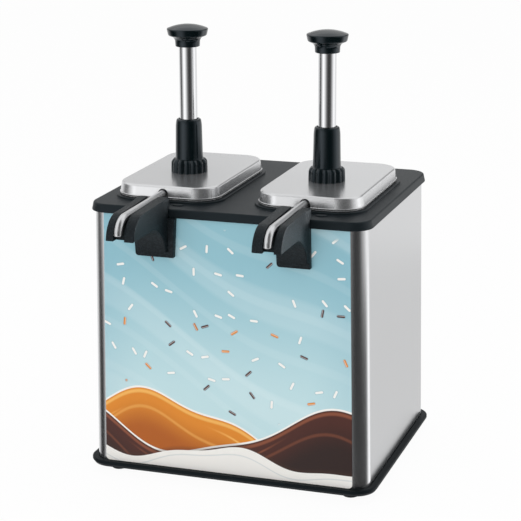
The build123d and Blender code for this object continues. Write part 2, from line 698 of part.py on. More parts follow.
SPRING_R = 9.4
SPRING_WIRE = 0.8  # radius
SPRING_TURNS = 12
SPRING_FOOT_Z = CYLINDER_BOTTOM_Z + 2.0


def return_spring(sx):
    """Compression spring between the cylinder's floor and the piston."""
    top = SHOULDER_Z - 1.0 - PISTON_HEIGHT + 1.0
    low = SPRING_FOOT_Z + SPRING_WIRE + 0.05
    rise = top - SPRING_WIRE - 0.05 - low
    path = Helix(pitch=rise / SPRING_TURNS, height=rise, radius=SPRING_R)
    section = Plane(origin=path @ 0, z_dir=path % 0) * RegularPolygon(SPRING_WIRE, 6)
    coil = sweep(section, path=path, is_frenet=True)
    return Pos(sx * WELL_X, y_at(PUMP_BACK), low) * coil


def pump_cylinder(sx):
    """Cylinder below the lid: threaded head stub, flange, plain bore and a pierced floor."""
    foot = CYLINDER_BOTTOM_Z
    under = LID_Z - LID_SHEET
    outside = [
        (CYLINDER_R, foot),
        (CYLINDER_R, under - 3),
        (19.0, under - 3),
        (19.0, under),
        (STUB_R, under),
        (STUB_R, NUT_TOP_Z),
        (TUBE_R + 0.5, NUT_TOP_Z),
    ]
    inside = [
        (TUBE_R + 0.5, SHOULDER_Z),
        (BORE_R, SHOULDER_Z),
        (BORE_R, foot + 2),
        (6.0, foot + 2),
        (6.0, foot),
    ]
    return turned(outside + inside, sx * WELL_X, y_at(PUMP_BACK))


def inlet_ball_z():
    """Centre of the ball where it touches the 45 degree seat, with a hair of clearance."""
    cone_tip = VALVE_BOTTOM_Z + 7.0 - 9.0
    return cone_tip + BALL_R / math.sin(math.radians(45)) + 0.05


def valve_body(sx):
    """Valve block on the cylinder's foot, with the inlet seat below and the outlet chamber in front."""
    x, y = sx * WELL_X, y_at(PUMP_BACK)
    z0 = VALVE_BOTTOM_Z
    foot = CYLINDER_BOTTOM_Z
    outside = [(INLET_R, z0), (VALVE_R - 2, z0), (VALVE_R, z0 + 2), (VALVE_R, foot + 8), (CYLINDER_R, foot + 8)]
    inside = [
        (CYLINDER_R, foot),
        (9.0, foot),
        (9.0, z0 + 7.0),
        (INLET_R, z0 + 7.0 - (9.0 - INLET_R)),
    ]
    block = turned(outside + inside, x, y)
    bx, by = x, y - RISER_AHEAD
    channel_z = z0 + 26.6
    boss = drilled(bx, by, channel_z - 6, RISER_FOOT_Z + 7, BOSS_R)
    boss += Pos(bx, (by + y) / 2 - 5, channel_z) * Box(14, RISER_AHEAD - 10, 12)
    block += boss
    block -= Pos(bx, (by + y) / 2, channel_z) * Rot(90, 0, 0) * Cylinder(3.0, RISER_AHEAD)
    block -= drilled(bx, by, channel_z, RISER_FOOT_Z, 3.0)
    block -= drilled(bx, by, channel_z + 5.4, RISER_FOOT_Z + 0.5, SMALL_BALL_R + 0.7)
    block -= drilled(bx, by, RISER_FOOT_Z, RISER_FOOT_Z + 8, DISCHARGE_R)
    pin_z = inlet_ball_z() + BALL_R + BALL_LIFT + 0.3 + 1.5
    block += Pos(x, y, pin_z) * Rot(0, 90, 0) * Cylinder(1.5, 20)
    return block


def inlet_ball(sx):
    """Steel ball resting in the conical inlet seat."""
    return Pos(sx * WELL_X, y_at(PUMP_BACK), inlet_ball_z()) * Sphere(BALL_R)


def outlet_ball(sx):
    """Steel ball over the outlet passage, under the riser."""
    seat_z = VALVE_BOTTOM_Z + 26.6 + 5.4
    centre = seat_z + math.sqrt(SMALL_BALL_R**2 - 3.0**2) + 0.05
    return Pos(sx * WELL_X, y_at(PUMP_BACK) - RISER_AHEAD, centre) * Sphere(SMALL_BALL_R)


def intake_tube(sx):
    """Short tube that reaches down to the jar's floor."""
    z0, z1 = JAR_BOTTOM_Z + 8.0, VALVE_BOTTOM_Z
    profile = [(8.5, z0), (10.0, z0), (10.0, z1 - 3), (12.5, z1 - 3), (12.5, z1), (8.5, z1)]
    return turned(profile, sx * WELL_X, y_at(PUMP_BACK))


def discharge_path(x):
    """Centre line of the discharge tube: up the riser, forward out of the lid, down at the nose."""
    y_riser = y_at(PUMP_BACK) - RISER_AHEAD
    back = PUMP_BACK - RISER_AHEAD
    corner_back = (x, y_riser, outlet_z(back))
    front = -OUTLET_REACH
    corner_front = (x, y_at(front), outlet_z(front))
    end = (x, y_at(front), OUTLET_END_Z - 8.0)
    start = (x, y_riser, RISER_FOOT_Z)
    return FilletPolyline(start, corner_back, corner_front, end, radius=[RISER_BEND_R, OUTLET_BEND_R])


def discharge_tube(sx):
    """Bent steel tube from the valve block, out through the lid's notch and along the spout."""
    x = sx * WELL_X
    path = discharge_path(x)
    ring = Plane(origin=path @ 0, z_dir=path % 0) * (Circle(DISCHARGE_R) - Circle(DISCHARGE_R - DISCHARGE_WALL))
    tube = sweep(ring, path=path)
    return tube - Pos(x, y_at(-105), OUTLET_END_Z - 15) * Box(30, 40, 30)


# ---- Electrics ----------------------------------------------------------------------------------
ROCKER_TILT = 9.0
ROCKER_PIVOT = -2.0  # below the rear panel's outer face
PIVOT_R = 1.5


def switch_place():
    """The switch's own frame: its face is the rear panel, local +Z points out of the back."""
    return Plane((SWITCH_X, y_at(BODY_DEPTH) + SHEET, SWITCH_Z), x_dir=(-1, 0, 0), z_dir=(0, 1, 0))


def rocker_bezel():
    """Switch body: a flanged frame outside the panel and a closed case with pivot sockets."""
    frame = extrude(RectangleRounded(25.0, 31.5, 2.0), 2.0)
    frame = chamfer(frame.faces().sort_by(Axis.Z)[-1].outer_wire().edges(), 0.8)
    case = Pos(0, 0, -11) * Box(21.4, 27.8, 22)
    case += Pos(0, 0, -26) * Box(0.8, 6.3, 8) + Pos(6, 0, -26) * Box(0.8, 6.3, 8)
    body = frame + case
    body -= Pos(0, 0, -3) * Box(16.0, 24.6, 12)
    body -= Pos(0, 0, ROCKER_PIVOT) * Rot(0, 90, 0) * Cylinder(PIVOT_R + RUNNING_FIT, 19.4)
    return switch_place() * body


def rocker():
    """Rocker lever on two pivot stubs, its flats meeting in a shallow valley; stored at off."""
    half, valley = 11.2, 3.0
    rise = half * math.tan(math.radians(ROCKER_TILT))
    flats = [(half, valley + rise), (0, valley), (-half, valley + rise)]
    side = make_face(Polyline((-half, -2.5), (half, -2.5), *flats, close=True))
    lever = extrude(Plane((-7.6, 0, 0), x_dir=(0, 1, 0), z_dir=(1, 0, 0)) * side, 15.2)
    lever = fillet(lever.edges().filter_by(Axis.X).sort_by(Axis.Z)[-2:], 0.8)
    lever += Rot(0, 90, 0) * Cylinder(PIVOT_R, 19.0)
    return switch_place() * Pos(0, 0, ROCKER_PIVOT) * Rot(ROCKER_TILT, 0, 0) * lever


def cord_gland():
    """Moulded gland in the rear panel with an open mouth for the supply lead."""
    place = Plane((GLAND_X, y_at(BODY_DEPTH) + SHEET, GLAND_Z), z_dir=(0, 1, 0))
    body = Cylinder(8.0, 14, align=(Align.CENTER, Align.CENTER, Align.MAX))
    body += extrude(RegularPolygon(11.5, 6), 3.5)
    body += Cone(9.5, 7.5, 3.4, align=(Align.CENTER, Align.CENTER, Align.MIN)).moved(Pos(0, 0, 3.5))
    nut = Pos(0, 0, -2.0 - 4.0) * extrude(RegularPolygon(11.5, 6), 4.0)
    body += nut
    body -= Pos(0, 0, 1.0) * Cylinder(4.0, 10, align=(Align.CENTER, Align.CENTER, Align.MIN))
    return place * body


def terminal_block():
    """Six-way block on the base floor."""
    x, y, z = GLAND_X + 20, y_at(262), FLOOR_Z
    block = Pos(x, y, z + 8) * Box(64, 20, 16)
    for i in range(6):
        block -= Pos(x - 26.5 + 10.6 * i, y, z + 13) * Box(6.4, 21, 8)
    return block


def high_limit():
    """Manual-reset high-limit cut-out on a bracket between the wells."""
    x, y, z = 0.0, y_at(200), FLOOR_Z
    bracket = Pos(x, y, z + 0.6) * Box(26, 40, 1.2) + Pos(x, y - 19.4, z + 22) * Box(26, 1.2, 44)
    return bracket + Pos(x, y - 14, z + 30) * Rot(90, 0, 0) * Cylinder(8, 10)


def wiring():
    """Insulated leads from the gland side to the terminal block, switch and wells."""
    wires = []
    start_y, block_x = y_at(250), GLAND_X + 20
    for i, (x1, z1) in enumerate([(-WELL_X, 98.0), (WELL_X, 98.0), (SWITCH_X - 3, 60.0)]):
        x0 = block_x - 16 + 16 * i
        z0 = FLOOR_Z + 24 + 5 * i
        y1 = y_at(WELL_BACK) + 48 if i < 2 else y_at(BODY_DEPTH - 36)
        points = [(x0, start_y, FLOOR_Z + 17), (x0, start_y, z0), (x1, start_y - 4, z0 + 2), (x1, y1, z1)]
        path = FilletPolyline(*points, radius=5.0)
        ring = Plane(origin=path @ 0, z_dir=path % 0) * RegularPolygon(1.3, 8)
        wires.append(sweep(ring, path=path, transition=Transition.RIGHT))
    return Compound(children=wires)


# ---- Build --------------------------------------------------------------------------------------
SIDES = {"left": -1, "right": 1}

HOUSING_PIECES = {
    "base_tray": base_tray,
    "feet": feet,
    "foot_screws": foot_screws,
    "shroud": shroud,
    "back_panel": back_panel,
    "back_screws": back_screws,
    "front_panel": front_panel,
    "top_cover": top_cover,
    "cover_screws": cover_screws,
    "spout_screws": spout_screws,
    "rocker_bezel": rocker_bezel,
    "rocker": rocker,
    "cord_gland": cord_gland,
    "terminal_block": terminal_block,
    "high_limit": high_limit,
    "wiring": wiring,
}

SIDE_PIECES = {
    "well": well,
    "heater": heater,
    "insulation": insulation,
    "thermostat": thermostat,
    "jar": jar,
    "lid": lid,
    "lock_collar": lock_collar,
    "knob": knob,
    "plunger_tube": plunger_tube,
    "piston": piston,
    "piston_seal": piston_seal,
    "return_spring": return_spring,
    "pump_cylinder": pump_cylinder,
    "valve_body": valve_body,
    "inlet_ball": inlet_ball,
    "outlet_ball": outlet_ball,
    "intake_tube": intake_tube,
    "discharge_tube": discharge_tube,
}


def main():
    os.makedirs("parts", exist_ok=True)
    for name, make in HOUSING_PIECES.items():
        export_step(make(), f"parts/{name}.step")
    for side, sx in SIDES.items():
        export_step(spout_housing(side), f"parts/spout_housing_{side}.step")
        for name, make in SIDE_PIECES.items():
            export_step(make(sx), f"parts/{name}_{side}.step")


main()
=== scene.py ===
"""Twin hot topping warmer: the pieces, finishes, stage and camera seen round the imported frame.

Pieces are drawn in millimetres and scaled to metres as each is finished; the stage is in metres.
Depths are counted back from the front panel plane, as in the part's own drawing.
"""

import json
import math

import bmesh
import bpy
from mathutils import Matrix, Vector

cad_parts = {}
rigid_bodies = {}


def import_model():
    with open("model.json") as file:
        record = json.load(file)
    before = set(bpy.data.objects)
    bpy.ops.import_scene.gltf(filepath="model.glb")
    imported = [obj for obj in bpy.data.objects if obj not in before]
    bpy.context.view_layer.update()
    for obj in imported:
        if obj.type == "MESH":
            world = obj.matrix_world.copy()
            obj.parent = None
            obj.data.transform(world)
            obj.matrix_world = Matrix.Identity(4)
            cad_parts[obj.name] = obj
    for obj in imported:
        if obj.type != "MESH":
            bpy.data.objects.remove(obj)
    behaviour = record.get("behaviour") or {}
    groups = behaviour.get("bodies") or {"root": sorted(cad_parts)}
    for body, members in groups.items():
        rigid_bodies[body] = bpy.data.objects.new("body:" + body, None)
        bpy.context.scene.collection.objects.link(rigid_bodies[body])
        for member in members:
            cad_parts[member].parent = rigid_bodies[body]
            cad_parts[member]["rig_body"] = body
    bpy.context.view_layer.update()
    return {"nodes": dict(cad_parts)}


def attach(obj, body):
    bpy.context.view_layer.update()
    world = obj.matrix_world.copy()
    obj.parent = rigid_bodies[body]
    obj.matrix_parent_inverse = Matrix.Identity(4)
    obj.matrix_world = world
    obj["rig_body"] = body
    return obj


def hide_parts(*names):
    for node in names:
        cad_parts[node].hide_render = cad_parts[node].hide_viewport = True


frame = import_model()

bl_info = {
    "name": "Twin topping warmer",
    "version": (1, 0, 0),
    "blender": (4, 5, 0),
    "location": "3D View > Sidebar > Warmer",
    "description": "Builds a counter warmer with two hand pumps round its packed frame",
    "category": "Object",
}

MM = 0.001
FRONT_Y = -98.35
DEPTH = 298.0
MIDDLE_Y = FRONT_Y + DEPTH / 2
WRAP_RADIUS = 21.0
SIDE_FLARE = 0.0172  # spread of each side wall per unit of height
LIP_Z = 338.4
COVER_Z = 348.3
CURB_Z = 351.0
RIM_Z = 353.0
LID_Z = 367.5
LID_RADIUS = 31.5
WELL_X = {"left": -90.0, "right": 90.0}
WELL_BACK = 135.5
PUMP_BACK = 123.5
OUTLET_BACK = 29.5  # where an outlet tube leaves its lid
UP, DOWN = (0, 0, 1), (0, 0, -1)
SHARP = math.radians(32)
FINE = 18  # facets in the corners that show most


def y_at(back):
    return FRONT_Y + back


def set_all(thing, **settings):
    for name, value in settings.items():
        setattr(thing, name, value)
    return thing


def linear(red, green, blue):
    """A colour written as 0 to 255 screen values, as Blender's linear values."""
    screen = (value / 255 for value in (red, green, blue))
    return (*(v / 12.92 if v <= 0.04045 else ((v + 0.055) / 1.055) ** 2.4 for v in screen), 1.0)


# ---- Sizes and colours that a user may change ----
def length(name, default, description):
    return bpy.props.FloatProperty(
        name=name, description=description, default=default, unit="LENGTH"
    )


def count(name, default, low, high, description):
    return bpy.props.IntProperty(
        name=name, description=description, default=default, min=low, max=high
    )


def colour(name, default, description):
    return bpy.props.FloatVectorProperty(
        name=name, description=description, default=default, size=4, min=0, max=1, subtype="COLOR"
    )


class HousingSizes(bpy.types.PropertyGroup):
    width: length("Width", 0.345, "Steel wrap across, just under the cover")
    rim_overhang: length("Rim overhang", 0.008, "Base rim past the steel wrap")
    lip_overhang: length("Lip overhang", 0.003, "Top edge of the cover past the steel wrap")
    panel_width: length("Panel width", 0.3095, "Printed panel across its top")
    corner_steps: count("Corner steps", 12, 4, 24, "Facets in each rounded corner")


class PumpSizes(bpy.types.PropertyGroup):
    lid_width: length("Lid width", 0.1322, "Lid across")
    lid_length: length("Lid length", 0.212, "Lid from front to back")
    tube_radius: length("Plunger tube radius", 0.011, "Polished tube that carries the knob")
    outlet_radius: length("Outlet tube radius", 0.00475, "Bent tube from the lid to the spout")
    nut_ribs: count("Nut ribs", 14, 6, 24, "Ribs round the foot of the collar")


class Colours(bpy.types.PropertyGroup):
    steel: colour("Steel", (0.63, 0.635, 0.645, 1), "Brushed, satin and polished stainless steel")
    moulding: colour("Moulding", (0.0055, 0.0086, 0.0102, 1), "Cover, base and spouts")
    gloss: colour("Gloss moulding", (0.0006, 0.0032, 0.004, 1), "Knobs, collars and switch")
    ground: colour("Panel ground", linear(147, 195, 208), "Ground of the printed panel")
    caramel: colour("Caramel", linear(226, 138, 36), "Left wave of the printed panel")
    chocolate: colour("Chocolate", linear(72, 28, 16), "Right wave of the printed panel")
    cream: colour("Cream", linear(247, 245, 240), "Front wave of the printed panel")


def user_colour(name):
    return tuple(getattr(bpy.context.scene.warmer_colours, name))


# ---- Finishes: a material is a graph, and a term is one socket that sums are written with ----
def works_out(operation, backwards=False):
    """A method that adds a Math node on its own term and on any others that it is given."""

    def method(term, *others):
        values = (*others, term) if backwards else (term, *others)
        return term.finish.node("ShaderNodeMath", {"operation": operation}, dict(enumerate(values)))

    return method


class Term:
    """A number in a finish. A sum on it adds the Math node that works it out."""

    def __init__(self, finish, socket):
        self.finish, self.socket = finish, socket

    __add__ = __radd__ = works_out("ADD")
    __sub__ = works_out("SUBTRACT")
    __rsub__ = works_out("SUBTRACT", backwards=True)
    __mul__ = __rmul__ = works_out("MULTIPLY")
    __truediv__ = works_out("DIVIDE")
    sine, cosine, angle_over = works_out("SINE"), works_out("COSINE"), works_out("ARCTAN2")
    size, root, fraction = works_out("ABSOLUTE"), works_out("SQRT"), works_out("FRACT")
    floor_at = works_out("MAXIMUM")

    def output(self, which):
        """Another output of the same node."""
        return Term(self.finish, self.socket.node.outputs[which])

    def step_up(self, start, end):
        """0 before start and 1 after end, with a soft change between them; end may be the lower."""
        values = {"Value": self, "From Min": start, "From Max": end}
        return self.finish.node("ShaderNodeMapRange", {"interpolation_type": "SMOOTHSTEP"}, values)


def set_stops(ramp, stops):
    """Fill a ramp from (position, grey) pairs."""
    for _ in stops[2:]:
        ramp.elements.new(0.5)
    for element, (position, grey) in zip(ramp.elements, stops):
        set_all(element, position=position, color=(grey, grey, grey, 1))


class Finish:
    """A node graph under construction: a new material's, or the world's."""

    def __init__(self, name, owner=None):
        self.owner = owner or bpy.data.materials.new(name)
        self.owner.use_nodes = True
        self.tree = self.owner.node_tree
        self.tree.nodes.clear()

    def node(self, kind, settings=None, values=None, output=0):
        made = set_all(self.tree.nodes.new(kind), **(settings or {}))
        for key, value in (values or {}).items():
            if isinstance(value, Term):
                self.tree.links.new(value.socket, made.inputs[key])
            else:
                made.inputs[key].default_value = value
        return Term(self, made.outputs[output]) if made.outputs else None

    def place(self, scale):
        """Object coordinates, stretched by a Mapping node."""
        coordinates = self.node("ShaderNodeTexCoord", output="Object")
        return self.node("ShaderNodeMapping", None, {"Vector": coordinates, "Scale": scale})

    def axes(self, scale=1 / MM):
        """Object X, Y and Z as terms, in millimetres where no other scale is given."""
        x = self.node("ShaderNodeSeparateXYZ", None, {0: self.place((scale,) * 3)})
        return x, x.output(1), x.output(2)

    def noise(self, scale, stretch=(1, 1, 1), detail=2.0, roughness=0.5):
        values = {"Vector": self.place(stretch), "Scale": scale, "Detail": detail}
        return self.node("ShaderNodeTexNoise", None, values | {"Roughness": roughness})

    def blend(self, factor, first, second):
        values = {0: factor, 6: first, 7: second}
        return self.node("ShaderNodeMix", {"data_type": "RGBA"}, values, output=2)

    def glow(self, strength):
        return self.node("ShaderNodeEmission", None, {"Color": (1, 1, 1, 1), "Strength": strength})

    def shade(self, base, roughness, height, distance, strength, **constants):
        """The principled shader over a bump of that height, its distance in millimetres."""
        bump = {"Height": height, "Distance": distance * MM, "Strength": strength}
        values = {name.replace("_", " "): value for name, value in constants.items()}
        values |= {"Base Color": base, "Roughness": roughness}
        values["Normal"] = self.node("ShaderNodeBump", None, bump)
        return self.surface(self.node("ShaderNodeBsdfPrincipled", None, values))

    def surface(self, shader, output="ShaderNodeOutputMaterial"):
        self.node(output, None, {"Surface": shader})
        return self.owner


def tone(shade, factor):
    """A colour made lighter or darker by a plain factor."""
    return (*[min(1.0, value * factor) for value in shade[:3]], 1.0)


# Metals: stretch of the grain along X, Y and Z, its scale, roughness, the roughness's spread,
# relief, brightness, and metallic, below 1 where some scattered light lifts dark reflections.
METALS = {
    "stainless_brushed": ((0.035, 0.035, 1.0), 2600.0, 0.22, 0.08, 0.06, 1.0, 1.0),
    "stainless_satin": ((1.0, 0.05, 1.0), 2200.0, 0.24, 0.04, 0.015, 1.12, 0.88),
    "stainless_polished": ((0.3, 0.3, 1.0), 1800.0, 0.15, 0.03, 0.005, 1.12, 1.0),
    "stainless_jar": ((0.3, 0.3, 1.0), 1800.0, 0.24, 0.04, 0.01, 1.12, 0.75),
    "stainless_tube": ((0.3, 0.3, 1.0), 1800.0, 0.3, 0.04, 0.01, 1.1, 1.0),
    "aluminium_drawn": ((1.0, 1.0, 0.04), 1500.0, 0.34, 0.1, 0.08, 1.2, 0.7),
    "zinc_plated": ((1.0, 1.0, 1.0), 700.0, 0.36, 0.16, 0.1, 0.95, 1.0),
}

# Mouldings: colour, tone of its hollows and peaks, roughness, scale of the texture, relief and
# specular level.
MOULDINGS = {
    "plastic_black": ("moulding", 0.8, 1.6, 0.46, 1500.0, 0.35, 0.24),
    # the base tray's entry is the cover's moulding painted darker, as painted shade, with a lower
    # specular level
    "plastic_base": ("moulding", 0.6, 1.2, 0.5, 1500.0, 0.35, 0.12),
    "plastic_gloss_black": ("gloss", 0.8, 1.6, 0.17, 900.0, 0.05, 0.48),
    "rubber_black": ((0.016, 0.016, 0.017), 0.8, 1.6, 0.72, 1700.0, 0.5, 0.25),
    "silicone_orange": ((0.55, 0.13, 0.04), 0.8, 1.15, 0.55, 1300.0, 0.4, 0.4),
    "silicone_clear": ((0.72, 0.72, 0.69), 0.8, 1.08, 0.38, 800.0, 0.1, 0.5),
    "acetal_white": ((0.76, 0.76, 0.74), 0.8, 1.06, 0.36, 700.0, 0.1, 0.5),
    "phenolic_brown": ((0.12, 0.06, 0.03), 0.8, 1.3, 0.42, 900.0, 0.2, 0.45),
    "switch_white": ((0.8, 0.8, 0.8), 0.8, 1.05, 0.4, 900.0, 0.05, 0.5),
}


def metal(name, grain, grain_scale, roughness, spread, relief, brightness, metallic):
    """Steel and the like, with fine polishing lines and a faint cloud over them."""
    finish = Finish(name)
    shade = user_colour("steel")
    lines = finish.noise(grain_scale, grain, detail=3.0, roughness=0.65)
    cloud = finish.noise(9.0)
    dark, pale = tone(shade, brightness * 0.965), tone(shade, brightness * 1.035)
    base = finish.blend(lines * 0.7 + cloud * 0.3, dark, pale)
    rough = roughness + (lines - 0.5) * spread + (cloud - 0.5) * spread * 0.5
    return finish.shade(base, rough, lines, 0.02, relief, Metallic=metallic)


def moulded(name, shade, hollows, peaks, roughness, scale, relief, specular):
    """Moulded plastic or rubber with a fine spark-eroded texture."""
    finish = Finish(name)
    shade = user_colour(shade) if isinstance(shade, str) else shade
    texture = finish.noise(scale, roughness=0.6)
    cloud = finish.noise(22.0, detail=3.0)
    base = finish.blend(texture * 0.6 + cloud * 0.4, tone(shade, hollows), tone(shade, peaks))
    rough = roughness + (texture - 0.5) * 0.12 + (cloud - 0.5) * 0.06
    sheen = {"Specular_IOR_Level": specular, "Specular_Tint": (0.78, 0.89, 1.0, 1.0)}
    return finish.shade(base, rough, texture, 0.12, relief, **sheen)


def spout_moulding(name):
    """The spouts' coarser spark-eroded texture, whose peaks are smoother and are painted paler as
    painted glints.
    """
    finish = Finish(name)
    shade = user_colour("moulding")
    grain = finish.noise(760.0, detail=1.0)
    peaks = grain.step_up(0.46, 0.64)
    # the peaks' paler colour is painted glints on the grain, not a paler plastic
    base = finish.blend(peaks, tone(shade, 0.7), tone(shade, 1.9))
    sheen = {"Specular_IOR_Level": 0.26, "Specular_Tint": (0.85, 0.92, 1.0, 1.0)}
    return finish.shade(base, 0.55 - peaks * 0.12, grain, 0.55, 1.0, **sheen)


def glass_blanket(name):
    """Glass-fibre blanket: matted fibres in two directions."""
    finish = Finish(name)
    along, across = (1.0, 0.12, 0.3), (0.15, 1.0, 0.4)
    fibres = finish.noise(900.0, along, detail=4.0) + finish.noise(900.0, across, detail=4.0)
    base = finish.blend(fibres * 0.5, (0.66, 0.6, 0.44, 1), (0.88, 0.84, 0.7, 1))
    return finish.shade(base, 0.9, fibres, 0.5, 0.7)


def braided_sleeve(name):
    """Glass-braid wire sleeve: crossed threads."""
    finish = Finish(name)
    x, y, z = finish.axes()
    threads = ((x + y + z) * 4.2).sine() * ((x - y - z) * 4.2).sine()
    base = finish.blend(threads.step_up(-0.6, 0.6), (0.42, 0.42, 0.4, 1), (0.72, 0.72, 0.69, 1))
    return finish.shade(base, 0.75, threads, 0.1, 0.5)


def swell(x, height, *waves):
    """A height that runs along x in waves of (turn per millimetre, phase, reach)."""
    for rate, phase, reach in waves:
        height = height + (x * rate + phase).sine() * reach
    return height


def printed_ground(finish, x, z):
    """The panel's ground: paler towards the waves, darker at the sides, in slanting bands."""
    ground = finish.blend(z.step_up(300, 95), user_colour("ground"), linear(196, 226, 231))
    sweep = x * 0.5 + z + (x * 0.021 + z * 0.006).sine() * 14
    broad = (sweep * 0.052).sine().step_up(0.35, 0.75)
    narrow = (sweep * 0.117 + 1.0).sine().step_up(0.7, 0.95)
    ground = finish.blend(broad * 0.16 + narrow * 0.1, ground, linear(232, 246, 248))
    return finish.blend(x.size().step_up(95, 175) * 0.22, ground, linear(112, 168, 188))


def with_sprinkles(finish, ground, x, z, clear):
    """A capsule in most cells of a jittered grid, turned and coloured by the cell."""
    cell, half_length = 27.0, 3.6
    flat = finish.node("ShaderNodeCombineXYZ", None, {0: x / cell, 1: z / cell})
    grid = {"Vector": flat, "Scale": 1.0, "Randomness": 0.72}
    cells = finish.node("ShaderNodeTexVoronoi", {"voronoi_dimensions": "2D"}, grid)
    chance = finish.node("ShaderNodeSeparateColor", None, {0: cells.output("Color")})
    pick, keep = chance.output(1), chance.output(2)
    ends = {0: flat, 1: cells.output("Position")}
    away = finish.node("ShaderNodeVectorMath", {"operation": "SUBTRACT"}, ends)
    away = finish.node("ShaderNodeSeparateXYZ", None, {0: away})
    u, v = away * cell, away.output(1) * cell
    turn = chance * (2 * math.pi)
    along, across = u * turn.cosine() + v * turn.sine(), v * turn.cosine() - u * turn.sine()
    reach = (along.size() - half_length).floor_at(0.0)
    distance = (reach * reach + across * across).root()
    shown = keep.step_up(0.30, 0.32) * clear.step_up(9.0, 13.0) * z.step_up(329, 322)
    sprinkle = finish.blend(pick.step_up(0.55, 0.56), user_colour("cream"), user_colour("caramel"))
    sprinkle = finish.blend(pick.step_up(0.74, 0.75), sprinkle, user_colour("chocolate"))
    shine = (across + 0.55).size().step_up(0.5, 0.2) * 0.45
    sprinkle = finish.blend(shine, sprinkle, linear(255, 255, 255))
    halo = distance.step_up(3.0, 1.4) * shown * 0.35
    ground = finish.blend(halo, ground, linear(96, 152, 174))
    return finish.blend(distance.step_up(1.62, 1.38) * shown, ground, sprinkle)


def panel_print(name):
    """Printed panel: sprinkles on a pale ground over caramel, chocolate and cream waves."""
    finish = Finish(name)
    x, _, z = finish.axes()
    cream = user_colour("cream")
    caramel_top = swell(x, 78, (0.015, 3.05, 34), (0.046, 0.6, 7))
    chocolate_top = swell(x, 74, (0.0155, -0.75, 36), (0.041, 2.4, 6))
    cream_top = swell(x, 41, (0.0262, 1.5, 11), (0.061, 0.0, 3.5))
    clear = z - caramel_top.floor_at(chocolate_top)
    sheet = with_sprinkles(finish, printed_ground(finish, x, z), x, z, clear)

    # each liquid wave has a pale rim, a lit shoulder and two running streaks of light
    for top, body, lit, deep, phase in (
        (caramel_top, user_colour("caramel"), linear(250, 190, 98), linear(178, 92, 14), 0.0),
        (chocolate_top, user_colour("chocolate"), linear(142, 78, 50), linear(38, 13, 7), 2.1),
    ):
        below = top - z
        wave = finish.blend(below.step_up(8, 55), body, deep)
        wave = finish.blend((below - 4.2).size().step_up(3.6, 0.6) * 0.85, wave, lit)
        streak = (below - 17 - (x * 0.033 + phase).sine() * 5).size().step_up(2.2, 0.3)
        wave = finish.blend(streak * (x * 0.02 + phase).sine().step_up(-0.6, 0.5), wave, lit)
        streak = (below - 31 - (x * 0.024 + 1.0 + phase).sine() * 7).size().step_up(3.4, 0.4)
        wave = finish.blend(streak * 0.4, wave, lit)
        sheet = finish.blend((below + 2.6).step_up(-0.15, 0.15), sheet, cream)
        sheet = finish.blend(below.step_up(-0.15, 0.15), sheet, wave)

    # the cream wave has one soft crease, and casts a shade on the waves behind it
    below = cream_top - z
    wave = finish.blend(below.step_up(0, 30), cream, linear(240, 238, 234))
    crease = (below - 9 - (x * 0.03).sine() * 3).size().step_up(1.3, 0.3) * 0.5
    wave = finish.blend(crease, wave, linear(196, 205, 208))
    sheet = finish.blend((below + 7.0).step_up(0, 7.0) * 0.45, sheet, linear(60, 34, 22))
    sheet = finish.blend(below.step_up(-0.15, 0.15), sheet, wave)

    mottle = finish.noise(1400.0, detail=1.0)
    rough = 0.34 + (mottle - 0.5) * 0.05
    return finish.shade(sheet, rough, mottle, 0.02, 0.08, Specular_IOR_Level=0.4)


OTHER_FINISHES = {
    "plastic_spout": spout_moulding,
    "panel_print": panel_print,
    "glass_fibre": glass_blanket,
    "wire_sleeve": braided_sleeve,
}


def finish_named(slot):
    """The material of that name, made the first time that it is asked for."""
    name = "warmer_" + slot
    made = bpy.data.materials.get(name)
    if made:
        return made
    if slot in METALS:
        return metal(name, *METALS[slot])
    if slot in MOULDINGS:
        return moulded(name, *MOULDINGS[slot])
    return OTHER_FINISHES[slot](name)


# ---- Modelling: each shape is a bmesh in millimetres ----
def of_kind(items, kind):
    return [item for item in items if isinstance(item, kind)]


def face_towards(shape, direction):
    """The face that lies furthest along a direction and looks that way."""
    direction = Vector(direction)
    shape.normal_update()

    def rank(face):
        return round(face.calc_center_median().dot(direction), 3), face.calc_area()

    return max((f for f in shape.faces if f.normal.dot(direction) > 0.9), key=rank)


def rounded(shape, geom, radius, segments, affect="EDGES"):
    bmesh.ops.bevel(
        shape, geom=geom, offset=radius, offset_type="OFFSET", segments=segments, profile=0.5,
        affect=affect, material=-1, clamp_overlap=False,
    )


def moved(shape, matrix):
    bmesh.ops.transform(shape, matrix=matrix, verts=shape.verts[:])
    return shape


def shifted(shape, x=0.0, y=0.0, z=0.0):
    return moved(shape, Matrix.Translation((x, y, z)))


def faced_outwards(shape):
    bmesh.ops.recalc_face_normals(shape, faces=shape.faces[:])
    return shape


def plate(width, length, radius, z=0.0, x=0.0, y=0.0, steps=None):
    """A flat sheet with rounded corners that faces up."""
    shape = bmesh.new()
    corners = bmesh.ops.create_grid(shape, x_segments=1, y_segments=1, size=0.5)["verts"]
    bmesh.ops.scale(shape, verts=corners, vec=(width, length, 1))
    shifted(shape, x, y, z)
    if radius:
        steps = steps or bpy.context.scene.warmer_housing.corner_steps
        rounded(shape, corners, radius, steps, "VERTICES")
    return shape


def raise_up(shape, vector):
    """Draw a flat shape out along a vector to a closed block."""
    made = bmesh.ops.extrude_face_region(shape, geom=shape.faces[:])["geom"]
    bmesh.ops.translate(shape, verts=of_kind(made, bmesh.types.BMVert), vec=vector)
    return faced_outwards(shape)


def block(width, length, radius, z0, z1, x=0.0, y=0.0, steps=None):
    return raise_up(plate(width, length, radius, z0, x, y, steps), (0, 0, z1 - z0))


def step(shape, face, *moves):
    """Draw a face in and out by each (inward, along), leaving a band of faces round it."""
    for inward, along in moves:
        bmesh.ops.inset_region(
            shape, faces=[face], thickness=inward, depth=along, use_even_offset=True,
            use_boundary=True,
        )


